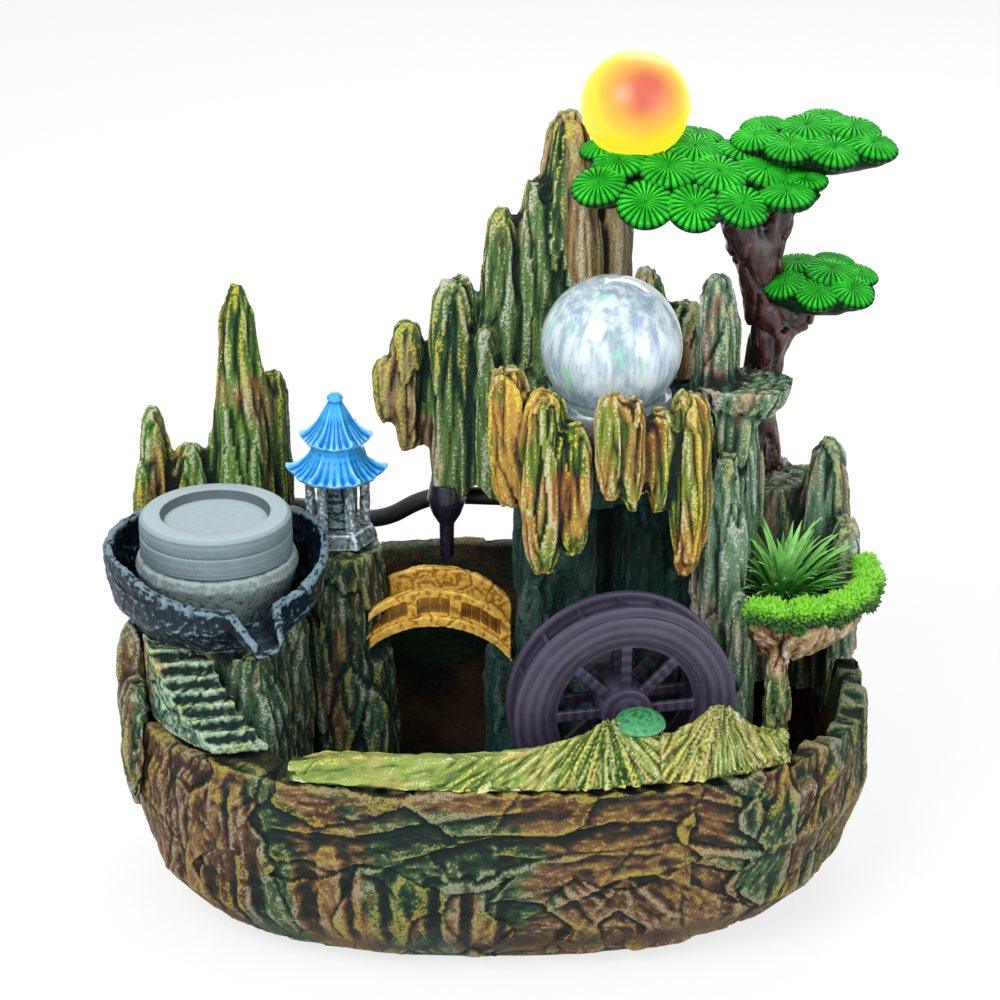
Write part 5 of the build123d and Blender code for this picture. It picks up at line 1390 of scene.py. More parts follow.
@dataclass
class BasinCasting(Casting):
    """The basin, with its grain running level in the middle of the front and upright at the ends.

    A zone of grain is (from x, to x, whether it is low down only, tilt); a later zone covers an earlier one.
    """

    half_x: float = 0.163
    half_y: float = 0.110
    squareness: float = 2.5
    rim_wear: float = 3.4 * MM
    rim_low: float = 0.086
    rim_high: float = 0.0965
    pool_edge: float = 0.86
    kept_share: float = 0.42
    girth: float = 0.14
    depth_share: float = 0.2
    low_band: float = 0.054
    back_y: float = 0.03
    back_tilt: float = 0.35
    zones: tuple[tuple[float, float, bool, float], ...] = (
        (-1.0, -0.098, False, 1.5),
        (-0.098, 0.078, False, 0.08),
        (0.078, 0.104, False, -0.55),
        (0.104, 1.0, False, 1.3),
        (-1.0, 0.0, True, 1.45),
        (0.025, 0.10, True, -0.9),
        (-1.0, -0.125, False, 1.3),
        (0.125, 1.0, False, 1.3),
    )

    def grain_places(self, points: np.ndarray) -> np.ndarray:
        """Runs the grain level in the middle, upright on the left and slanting on the right.

        Args:
            points: Vertex places.

        Returns:
            One sampling place per vertex.
        """
        along = np.arctan2(points[:, 1] / self.half_y, points[:, 0] / self.half_x) * self.girth
        seam = 0.006 * np.sin(points[:, 2] * 190)
        x = points[:, 0] + seam
        low = points[:, 2] < self.low_band + 0.006 * np.sin(points[:, 0] * 90)
        tilt = np.zeros(len(points))
        for first, last, low_only, lean in self.zones:
            tilt = np.where((x >= first) & (x < last) & (low | (not low_only)), lean, tilt)
        tilt = np.where(points[:, 1] < 4 * seam + self.back_y, tilt, self.back_tilt)
        flow = along * np.cos(tilt) + points[:, 2] * np.sin(tilt)
        rise = points[:, 2] * np.cos(tilt) - along * np.sin(tilt)
        depth = np.hypot(points[:, 0], points[:, 1]) * self.depth_share
        return np.stack([flow * self.stretch, depth, rise], 1)

    def shape(self, obj: Piece) -> None:
        """Wears the rim uneven, and marks the sprays and the pool that gets painted shade.

        Args:
            obj: The basin.
        """
        super().shape(obj)
        points = vertex_points(obj.data)
        x, y, z = points.T
        swing = np.sin(x * 170 + 1.0) * np.sin(y * 150) + 0.5 * np.sin(x * 430 + y * 390)
        worn = self.rim_wear * np.clip(0.5 + 0.5 * swing, 0, 1) * np.clip((z - self.rim_low) / 0.010, 0, 1)
        points[:, 2] -= np.where((z < self.rim_high) & (y < self.back_y), worn, 0)
        set_points(obj.data, points)
        oval = np.abs(x / self.half_x) ** self.squareness + np.abs(y / self.half_y) ** self.squareness
        # Marks the pool for its painted shade and for thinning.
        inside = np.clip((self.pool_edge - oval) / 0.12, 0, 1) * (z > 0.01)
        store(obj.data, "inside", "FLOAT", inside)

    def thin(self, obj: Piece) -> None:
        """Thins the pool and the underside.

        Args:
            obj: The basin, with its inside marked.
        """
        inside = np.empty(len(obj.data.vertices), dtype=np.float32)
        obj.data.attributes["inside"].data.foreach_get("value", inside)
        under = vertex_normals(obj.data)[:, 2] < -0.9
        group = obj.vertex_groups.new(name="hidden")
        group.add(np.flatnonzero((inside > 0.5) | under).tolist(), 1.0, "REPLACE")
        thinner = obj.modifiers.new("thinner", "DECIMATE")
        thinner.ratio = self.kept_share
        thinner.vertex_group = group.name
        freeze(obj)


@dataclass
class CrestCasting(Casting):
    """The crest on the front rim, whose grain fans out from its two peaks.

    The mound in front of the wheel's bearing is (x, y, reach along x, reach along y, height).
    """

    peaks: tuple[tuple[float, float], ...] = ((0.044, 0.122), (0.092, 0.126))
    saddle: float = 0.066
    spread: float = 0.085
    depth_share: float = 0.4
    mound: tuple[float, float, float, float, float] = (0.0575, -0.093, 0.015, 0.012, 0.0085)
    mound_foot: float = 0.094
    mound_back: float = -0.074

    def shape(self, obj: Piece) -> None:
        """Heaps the crest up in front of the bearing, and marks the sprays.

        Args:
            obj: The crest.
        """
        super().shape(obj)
        points = vertex_points(obj.data)
        x, y, z = points.T
        at_x, at_y, wide, deep, high = self.mound
        heap = high * np.exp(-(((x - at_x) / wide) ** 2) - ((y - at_y) / deep) ** 2)
        heap *= np.clip((z - self.mound_foot) / 0.008, 0, 1) * np.clip((self.mound_back - y) / 0.006, 0, 1)
        points[:, 2] += heap
        set_points(obj.data, points)

    def grain_places(self, points: np.ndarray) -> np.ndarray:
        """Runs the grain out and down from the nearer peak.

        Args:
            points: Vertex places.

        Returns:
            One sampling place per vertex.
        """
        right = points[:, 0] > self.saddle
        at_x, at_z = (np.where(right, *[peak[k] for peak in reversed(self.peaks)]) for k in (0, 1))
        x, z = points[:, 0] - at_x, points[:, 2] - at_z
        fan, down = np.arctan2(x, -z) * self.spread, np.hypot(x, z) * self.stretch
        return np.stack([fan, down, points[:, 1] * self.depth_share], 1)


@dataclass
class Rockery:
    """All the rocks, each with its own mix of paint."""

    weathering: Weathering

    def castings(self) -> list[Casting]:
        """Lists the rocks with their paints.

        Returns:
            The rocks, the basin and the crest first.
        """
        basin = RockFinish(
            "basin_paint",
            (srgb(14, 40, 32), srgb(58, 88, 50)),
            (srgb(78, 46, 30), srgb(122, 92, 56)),
            (srgb(172, 160, 62), srgb(166, 160, 136)),
            hollow_shade=srgb(11, 29, 27),
            brush_share=0.62,
            band_scale=40,
            zone_scale=15,
        )
        crest = RockFinish(
            "crest_paint",
            (srgb(94, 126, 58), srgb(160, 178, 88)),
            (srgb(160, 132, 78), srgb(196, 176, 116)),
            (srgb(238, 226, 104), srgb(226, 226, 196)),
            earth_share=0.4,
            hollow_shade=srgb(44, 66, 22),
            moss_share=0.5,
        )
        left = RockFinish(
            "left_mountain_paint",
            (srgb(34, 70, 36), srgb(100, 140, 54)),
            (srgb(122, 82, 48), srgb(160, 134, 82)),
            earth_share=0.42,
        )
        main = RockFinish(
            "main_mountain_paint",
            (srgb(24, 60, 40), srgb(100, 132, 68)),
            (srgb(130, 94, 62), srgb(186, 164, 116)),
            (srgb(214, 200, 78), srgb(208, 210, 188)),
            earth_share=0.36,
        )
        ribs = RockFinish(
            "rib_paint",
            (srgb(50, 84, 32), srgb(126, 142, 46)),
            (srgb(138, 84, 42), srgb(184, 142, 66)),
            (srgb(226, 208, 72), srgb(210, 206, 170)),
            earth_share=0.55,
        )
        wall = RockFinish(
            "cliff_paint",
            (srgb(12, 40, 38), srgb(30, 70, 64)),
            (srgb(24, 48, 46), srgb(48, 74, 68)),
            (srgb(92, 120, 104), srgb(132, 150, 140)),
            hollow_shade=srgb(12, 30, 28),
            brush_share=0.2,
        )
        pillar = RockFinish(
            "pillar_paint",
            (srgb(48, 84, 66), srgb(110, 144, 112)),
            (srgb(120, 86, 72), srgb(166, 144, 126)),
            (srgb(186, 188, 120), srgb(204, 208, 198)),
            earth_share=0.32,
        )
        shelf = RockFinish(
            "planter_paint",
            (srgb(70, 104, 60), srgb(134, 158, 96)),
            (srgb(150, 104, 70), srgb(194, 164, 120)),
            (srgb(206, 196, 104), srgb(214, 214, 200)),
            earth_share=0.55,
        )
        mill = RockFinish(
            "mill_rock_paint",
            (srgb(20, 50, 40), srgb(66, 102, 70)),
            (srgb(76, 54, 38), srgb(116, 94, 64)),
            (srgb(160, 156, 82), srgb(172, 178, 162)),
            earth_share=0.36,
        )
        stairs = RockFinish(
            "stair_paint",
            (srgb(58, 98, 84), srgb(140, 172, 142)),
            (srgb(122, 114, 80), srgb(176, 162, 118)),
            (srgb(200, 200, 112), srgb(200, 212, 186)),
            earth_share=0.3,
        )
        tall = Carving(1.4, 2.4, 0.3, 0.9, flute_spacing=6.0)
        strata = Carving(0.4, 2.6, 0.5, 1.0, slab_spacing=20.0)
        ridge = Carving(1.1, 2.2, 0.3, 0.9)
        mild = Carving(0.4, 0.4, 0.3, 0.4)
        rough = Carving(1.0, 3.0, 0.5, lift=0.15)
        front = (
            (-0.135, 0.062, 0.024, 0.034, 0.6),
            (0.060, 0.078, 0.050, 0.014, 0.35),
            (0.060, 0.030, 0.040, 0.020, 0.45),
            (-0.050, 0.026, 0.050, 0.018, 0.25),
            (-0.094, 0.060, 0.012, 0.030, -0.7),
            (-0.030, 0.068, 0.040, 0.014, -0.55),
            (0.108, 0.060, 0.013, 0.034, -0.7),
            (0.010, 0.040, 0.014, 0.014, -0.4),
        )
        heights = (
            (0.040, 0.300, 0.016, 0.050, 0.7),
            (0.024, 0.290, 0.008, 0.060, -0.5),
            (-0.004, 0.215, 0.022, 0.045, -0.45),
            (-0.030, 0.190, 0.012, 0.040, 0.25),
        )
        even, upright = Grain.EVEN, Grain.UPRIGHT
        plain = (
            ("stair_rock", "stair_flight", stairs, 0.8, 2, even, 1.0, mild),
            ("mill_stand_rock", "mill_rock", mill, 1.4, 4, upright, 0.3, rough),
            ("left_mountain_rock", "left_mountain", left, 1.15, 3, upright, 0.11, tall),
            ("pagoda_stand_rock", "pagoda_rock", mill, 1.3, 3, upright, 0.3, rough),
            ("cliff_rock", "cliff", wall, 1.8, 3, upright, 0.3, rough),
            ("main_mountain_rock", "main_mountain", main, 1.25, 3, upright, 0.11, tall, heights, 8 * MM),
            ("left_rib_rocks", "left_ribs", ribs, 0.9, 3, upright, 0.11, tall),
            ("right_rib_rocks", "right_ribs", ribs, 0.9, 3, upright, 0.11, tall),
            ("right_pillar_rock", "right_pillar", pillar, 1.25, 3, upright, 0.2, rough),
            ("far_right_rock", "right_rock", pillar, 1.25, 3, upright, 0.11, tall),
            ("planter_rock", "planter", shelf, 1.1, 4, upright, 0.5, rough),
        )
        rocks: list[Casting] = [
            BasinCasting("basin_rock", "basin", "rock", basin, 1.2 * MM, 1, even, 0.45, strata, front),
            CrestCasting("front_crest", "rim_rocks", "rock", crest, 0.9 * MM, 3, even, 0.2, ridge),
        ]
        for name, node, paint, voxel, *more in plain:
            rocks.append(Casting(name, node, "rock", paint, voxel * MM, *more))
        return rocks

    def build(self) -> None:
        """Builds every rock."""
        for casting in self.castings():
            casting.build(self.weathering)


# The mill, pagoda and bridge


@dataclass
class Mill:
    """The bowl with its spout, and the two stones."""

    weathering: Weathering
    axis_x: float = -0.121
    axis_y: float = -0.015

    def build(self) -> None:
        """Builds the bowl and both stones."""
        glaze = PaintFinish(
            "bowl_glaze", srgb(12, 32, 42), srgb(2, 7, 12), srgb(136, 166, 180), 0.6, 0.4, 700
        )
        grey = PaintFinish(
            "rough_stone", srgb(112, 128, 128), srgb(58, 76, 80), srgb(170, 182, 180), 0.6, 0.7, 150
        )
        hewn, soft = Carving(0.2, 1.0, 0.2, 1.1), Carving(0.1, 0.2, 0.1, 0.5)
        for name, node, slot, paint, voxel, soften, carving in (
            ("mill_bowl_cast", "mill_bowl", "bowl_paint", glaze, 0.9, 5, hewn),
            ("lower_stone_cast", "lower_millstone", "millstone", grey, 0.8, 3, soft),
        ):
            cast = Casting(name, node, slot, paint, voxel * MM, soften, Grain.EVEN, 1.0, carving)
            cast.build(self.weathering)
        turned = TurnedStoneFinish("turned_stone", self.axis_x, self.axis_y)
        Moulding("upper_stone_disc", "upper_millstone", "millstone", turned, 0.9 * MM).build()


@dataclass
class Pagoda:
    """The pagoda: plinth and columns, and two flared hexagonal roofs with ribs and hips."""

    weathering: Weathering
    x: float = -0.0715
    y: float = 0.025
    sides: int = 6
    segments: int = 240
    ribs_per_side: int = 5
    hip_height: float = 0.9 * MM
    rib_height: float = 0.35 * MM
    corner_lift: float = 2.2
    side_dip: float = 0.06
    lower: Profile = ((21.0, 0), (23.0, 1.6), (18.6, 3.4), (15.2, 6), (12.4, 9), (10.8, 12), (10.2, 15))
    upper: Profile = (
        *((14.8, 0), (16.5, 1.5), (13.0, 3.6), (10.2, 6.5), (7.6, 10), (5.6, 14)),
        *((3.4, 17.6), (3.0, 18.6), (3.7, 20.0), (2.9, 21.6), (1.0, 22.9)),
    )

    def roof_mesh(self, profile: Profile, foot: float) -> Mesh:
        """Builds one roof.

        Args:
            profile: Points of (radius, height above the foot) in millimetres, from the eave's underside up.
            foot: Height of the roof's foot in metres.

        Returns:
            The closed mesh.
        """
        steps_between, rounds = 8, 6
        steps = np.linspace(0, len(profile) - 1, steps_between * (len(profile) - 1) + 1)
        radius, height = (np.interp(steps, np.arange(len(profile)), row) for row in np.array(profile).T)
        for _ in range(rounds):
            for row in (radius, height):
                row[2:-1] = (row[1:-2] + 2 * row[2:-1] + row[3:]) / 4
        angle = np.arange(self.segments) * 2 * math.pi / self.segments
        wedge = 2 * math.pi / self.sides
        from_corner = (angle + wedge / 2) % wedge - wedge / 2
        corner = 1 - np.abs(from_corner) / (wedge / 2)
        flat = math.cos(wedge / 2) / np.cos(wedge / 2 - np.abs(from_corner))
        eave = np.clip((radius - radius.min()) / (radius.max() - radius.min()), 0, 1)[:, None]
        hexed = 1 + (flat - 1) * np.sqrt(eave)
        reach = radius[:, None] * hexed * (1 - self.side_dip * eave * np.sin(corner * math.pi) ** 2)
        lift = self.corner_lift * eave**3 * corner**4
        hip = self.hip_height / MM * np.exp(-((from_corner * radius[:, None]) ** 2)) * np.sqrt(eave)
        rib = self.rib_height / MM * np.cos(self.ribs_per_side * self.sides * angle) * eave
        slope = (steps > 1.0)[:, None]
        rise = height[:, None] + lift + np.where(slope, hip + rib, 0)
        x = self.x + reach * np.cos(angle) * MM
        y = self.y + reach * np.sin(angle) * MM
        points = np.stack([x, y, foot + rise * MM], 2).reshape(-1, 3)
        count = self.segments
        faces = ring_faces(len(steps), count)
        faces.append(tuple(range(count)))
        faces.append(tuple(range((len(steps) - 1) * count, len(steps) * count)))
        return mesh_from(points, faces)

    def build(self) -> None:
        """Builds the two roofs, the columns and the plinth."""
        blue = PaintFinish(
            "roof_blue", srgb(56, 164, 228), srgb(4, 104, 188), srgb(160, 222, 250), 0.7, 0.35, 160
        )
        stone = PaintFinish(
            "column_white", srgb(112, 130, 134), srgb(26, 44, 46), srgb(224, 234, 240), 0.9, 0.45, 200
        )
        for name, node, profile in (
            ("pagoda_lower_roof_tiles", "pagoda_lower_roof", self.lower),
            ("pagoda_upper_roof_tiles", "pagoda_upper_roof", self.upper),
        ):
            roof = make_object(name, self.roof_mesh(profile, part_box(node)[0][2]))
            store_relief(roof.data)
            roof.data.materials.append(blue.material())
            shade(roof, Shading.CREASED, 60.0)
            hand_over(roof, "pagoda_blue", node)
        worn = Carving(0.2, 0.3, 0.2, 0.4)
        for name, node in (("pagoda_posts", "pagoda_columns"), ("pagoda_base", "pagoda_plinth")):
            post = Casting(name, node, "pagoda_white", stone, 0.45 * MM, 2, Grain.EVEN, 1.0, worn)
            post.build(self.weathering)


@dataclass
class Bridge:
    """The arched bridge: planks over the deck, and two rails.

    The planks cover a share of the arch, and each covers a share of its pitch.
    """

    weathering: Weathering
    scatter: Scatter
    x: float = -0.029
    y: float = 0.014
    span: float = 0.068
    width: float = 0.028
    camber: float = 0.017
    foot: float = 0.105
    planks: int = 17
    covered: float = 0.93
    plank_share: float = 0.84
    rail_room: float = 7.5 * MM
    plank_thickness: float = 1.2 * MM

    def build(self) -> None:
        """Builds the deck, the planks and the rails."""
        ochre = PaintFinish(
            "bridge_ochre_paint", srgb(218, 170, 70), srgb(150, 104, 42), srgb(240, 212, 116), 0.7, 0.5, 170
        )
        worn = Carving(0.3, 0.4, 0.3, 0.6)
        for name, node in (("bridge_arch_cast", "bridge_deck"), ("bridge_rail_cast", "bridge_rails")):
            cast = Casting(name, node, "bridge_ochre", ochre, 0.55 * MM, 2, Grain.EVEN, 1.0, worn)
            cast.build(self.weathering)
        radius = (self.span**2 / 4 + self.camber**2) / (2 * self.camber)
        half_turn = math.asin(self.span / 2 / radius)
        rows = []
        for k in range(self.planks):
            turn = half_turn * self.covered * (2 * k / (self.planks - 1) - 1)
            lift = self.foot + self.camber - radius + radius * math.cos(turn)
            place = Vector((self.x + radius * math.sin(turn), self.y, lift))
            rows.append((place, Vector((0, turn, 0)), Vector((1, 1, 1))))
        plank = self.plank_mesh(2 * radius * half_turn / self.planks * self.plank_share)
        planks = self.scatter.make("bridge_planks", plank, rows, ochre.material(), 0.03, 5)
        store_relief(planks.data)
        shade(planks, Shading.CREASED)
        lay_on(planks)

    def plank_mesh(self, long: float) -> Mesh:
        """Builds one plank with rounded edges, lying across the bridge.

        Args:
            long: Size along the span in metres.

        Returns:
            The plank's mesh.
        """
        work = bmesh.new()
        bmesh.ops.create_cube(work, size=1.0)
        size = (long, self.width - self.rail_room, self.plank_thickness)
        bmesh.ops.scale(work, vec=size, verts=work.verts)
        bmesh.ops.bevel(work, geom=work.edges[:], offset=0.25 * MM, segments=2, affect="EDGES", profile=0.5)
        mesh = bpy.data.meshes.new("plank")
        work.to_mesh(mesh)
        work.free()
        return mesh


# The ball, lamp, wheel and pond gear


@dataclass
class BallFountain:
    """The crystal ball in its clear cup."""

    centre: tuple[float, float, float] = (0.047, 0.005, 0.247)
    radius: float = 0.030

    def build(self) -> None:
        """Builds the ball and the cup."""
        steps = 64
        angles = [math.pi * k / steps - math.pi / 2 for k in range(steps + 1)]
        profile = [(self.radius * abs(math.cos(a)), self.radius * math.sin(a)) for a in angles]
        profile[0], profile[-1] = (0.0, -self.radius), (0.0, self.radius)
        ball = make_object("crystal_ball_glass", lathe(profile, Vector(self.centre), 128))
        ball.data.materials.append(CrystalFinish("milky_crystal").material())
        shade(ball, Shading.SMOOTH)
        hand_over(ball, "crystal", "crystal_ball")
        clear = MouldedFinish("clear_cup", srgb(196, 218, 228), srgb(226, 238, 244), 0.14, 0, 90, 0.05, 0.75)
        Moulding("clear_cup", "ball_cup", "cup_clear", clear, 0.6 * MM).build()


@dataclass
class LampGlobe:
    """The lit globe on the pine, its base and its lamp."""

    def build(self) -> None:
        """Builds the globe, base and lamp."""
        low, high = (Vector(corner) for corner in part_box("sun_globe"))
        centre = (low + high) / 2
        glow = LampGlobeFinish("lamp_glow", tuple(centre), (high.x - low.x) / 2)
        Moulding("lamp_globe_shell", "sun_globe", "lamp_globe", glow, 0.3 * MM).build()
        cuff = MouldedFinish("lamp_base_amber", srgb(196, 150, 30), srgb(224, 186, 44), 0.4)
        white = MouldedFinish("lamp_led_white", srgb(214, 214, 200), srgb(232, 232, 222), 0.4)
        Moulding("lamp_base_ring", "sun_lamp_base", "lamp_white", cuff).build()
        Moulding("lamp_led", "sun_led", "lamp_white", white, 0.2 * MM).build()


@dataclass
class WaterWheel:
    """The moulded wheel with its axle, bearings and the putty cap."""

    weathering: Weathering
    centre: tuple[float, float, float] = (0.051, -0.053, 0.108)
    axis: Direction = (0.2079, -0.9781, 0.0)

    def build(self) -> None:
        """Builds the wheel's pieces."""
        plum = WheelFinish("wheel_plum", self.centre, self.axis)
        deep = MouldedFinish("wheel_deep", srgb(40, 38, 48), srgb(50, 47, 58), 0.45, 0, 220, 0.3)
        steel = MouldedFinish(
            "axle_steel", srgb(176, 178, 182), srgb(200, 202, 206), 0.3, 1.0, 500, 0.1, 0, (1, 6, 1)
        )
        grey = MouldedFinish("bearing_grey", srgb(62, 66, 72), srgb(78, 82, 88), 0.5, 0, 300, 0.3)
        for name, node, slot, finish, edge in (
            ("wheel_ring_front", "wheel_front_ring", "wheel_plastic", plum, 0.7),
            ("wheel_ring_rear", "wheel_rear_ring", "wheel_plastic", plum, 0.7),
            ("wheel_blades", "wheel_paddles", "wheel_plastic", deep, 0.3),
            ("wheel_hub_boss", "wheel_hub", "wheel_plastic", plum, 0.8),
            ("wheel_axle_rod", "wheel_axle", "steel", steel, 0.2),
            ("bearing_rear", "rear_bearing", "bearing_plastic", grey, 0.5),
        ):
            Moulding(name, node, slot, finish, edge * MM).build()
        green = PaintFinish(
            "putty_green", srgb(70, 146, 96), srgb(40, 104, 64), srgb(128, 186, 142), 0.5, 0.5, 130
        )
        kneaded = Carving(0.1, 0.0, 0.0, 0.4)
        for name, node, slot in (
            ("putty_cap", "axle_putty", "putty"),
            ("bearing_front", "front_bearing", "bearing_plastic"),
        ):
            Casting(name, node, slot, green, 0.5 * MM, 8, Grain.EVEN, 1.0, kneaded).build(self.weathering)


@dataclass
class PondGear:
    """Pump, hoses, jets, cascade spout and mist maker."""

    light_centre: tuple[float, float, float] = (-0.038, -0.050, 0.034)
    light_radius: float = 0.012
    light_colours: tuple[Colour, Colour, Colour] = ((0.45, 0.16, 1.0), (0.9, 0.3, 1.0), (0.3, 0.4, 1.0))

    def build(self) -> None:
        """Builds every fitting in and behind the pool."""
        rubber = MouldedFinish("hose_rubber", srgb(20, 21, 23), srgb(32, 33, 36), 0.45, 0, 260, 0.2)
        black = MouldedFinish("fitting_nylon", srgb(24, 25, 28), srgb(38, 40, 44), 0.4, 0, 300, 0.25)
        inky = MouldedFinish("cascade_gloss", srgb(18, 18, 32), srgb(34, 33, 52), 0.25, 0, 180, 0.15)
        magnet = MouldedFinish("rotor_magnet", srgb(58, 58, 62), srgb(84, 84, 88), 0.5, 0, 400, 0.3)
        steel = MouldedFinish("pin_steel", srgb(168, 170, 174), srgb(196, 198, 202), 0.3, 1.0, 500, 0.1)
        brass = MouldedFinish(
            "mist_maker_metal", srgb(168, 162, 146), srgb(196, 190, 172), 0.32, 1.0, 380, 0.15
        )
        guard = MouldedFinish(
            "mist_guard_plastic", srgb(212, 216, 222), srgb(232, 234, 238), 0.3, 0, 200, 0.15, 0.25
        )
        sucker = MouldedFinish(
            "sucker_rubber", srgb(150, 156, 158), srgb(176, 180, 182), 0.35, 0, 240, 0.1, 0.2
        )
        for name, node, slot, finish, edge in (
            ("hose_riser", "riser_hose", "hose_black", rubber, 0.2),
            ("hose_to_ball", "ball_hose", "hose_black", rubber, 0.2),
            ("hose_to_mill", "mill_hose", "hose_black", rubber, 0.2),
            ("tee_fitting", "hose_tee", "fitting_black", black, 0.3),
            ("jet_under_ball", "ball_jet", "fitting_black", black, 0.2),
            ("jet_at_mill", "mill_jet", "fitting_black", black, 0.2),
            ("mill_pin_rod", "mill_pin", "steel", steel, 0.2),
            ("cascade_nozzle", "cascade_spout", "cascade_black", inky, 0.4),
            ("pump_case", "pump_body", "fitting_black", black, 0.8),
            ("pump_strainer", "pump_cover", "fitting_black", black, 0.4),
            ("pump_rotor_vanes", "pump_rotor", "rotor", magnet, 0.2),
            ("pump_shaft_rod", "pump_shaft", "steel", steel, 0.1),
            ("pump_sucker_feet", "pump_suckers", "hose_black", sucker, 0.3),
            ("pump_knob", "pump_flow_knob", "fitting_black", magnet, 0.3),
            ("mist_case", "mist_housing", "mist_metal", brass, 0.6),
            ("mist_plate", "mist_disc", "mist_metal", steel, 0.1),
            ("mist_splash_guard", "mist_guard", "mist_guard", guard, 0.3),
        ):
            Moulding(name, node, slot, finish, edge * MM).build()
        glow = LampGlobeFinish("mist_lamp", self.light_centre, self.light_radius, *self.light_colours)
        Moulding("mist_lamp_ring", "mist_light_ring", "mist_light", glow, 0.2 * MM).build()


# The pine and the planter


@dataclass(frozen=True)
class Pad:
    """One foliage pad, in millimetres.

    Its swell is (x, y, reach along x, reach along y, height), and its rosettes are (x, y, radius).
    """

    node: str
    top: float
    pivot_y: float
    swell: tuple[float, float, float, float, float]
    rosettes: tuple[tuple[float, float, float], ...]

    def rise(self, x: np.ndarray, y: np.ndarray) -> np.ndarray:
        """Height of the swelling above the solid's top.

        Args:
            x: Places along x.
            y: Places along y.

        Returns:
            Heights.
        """
        x0, y0, reach_x, reach_y, height = self.swell
        far = ((x - x0) / reach_x) ** 2 + ((y - y0) / reach_y) ** 2
        return height * np.clip(1 - far, 0, 1) ** 1.5


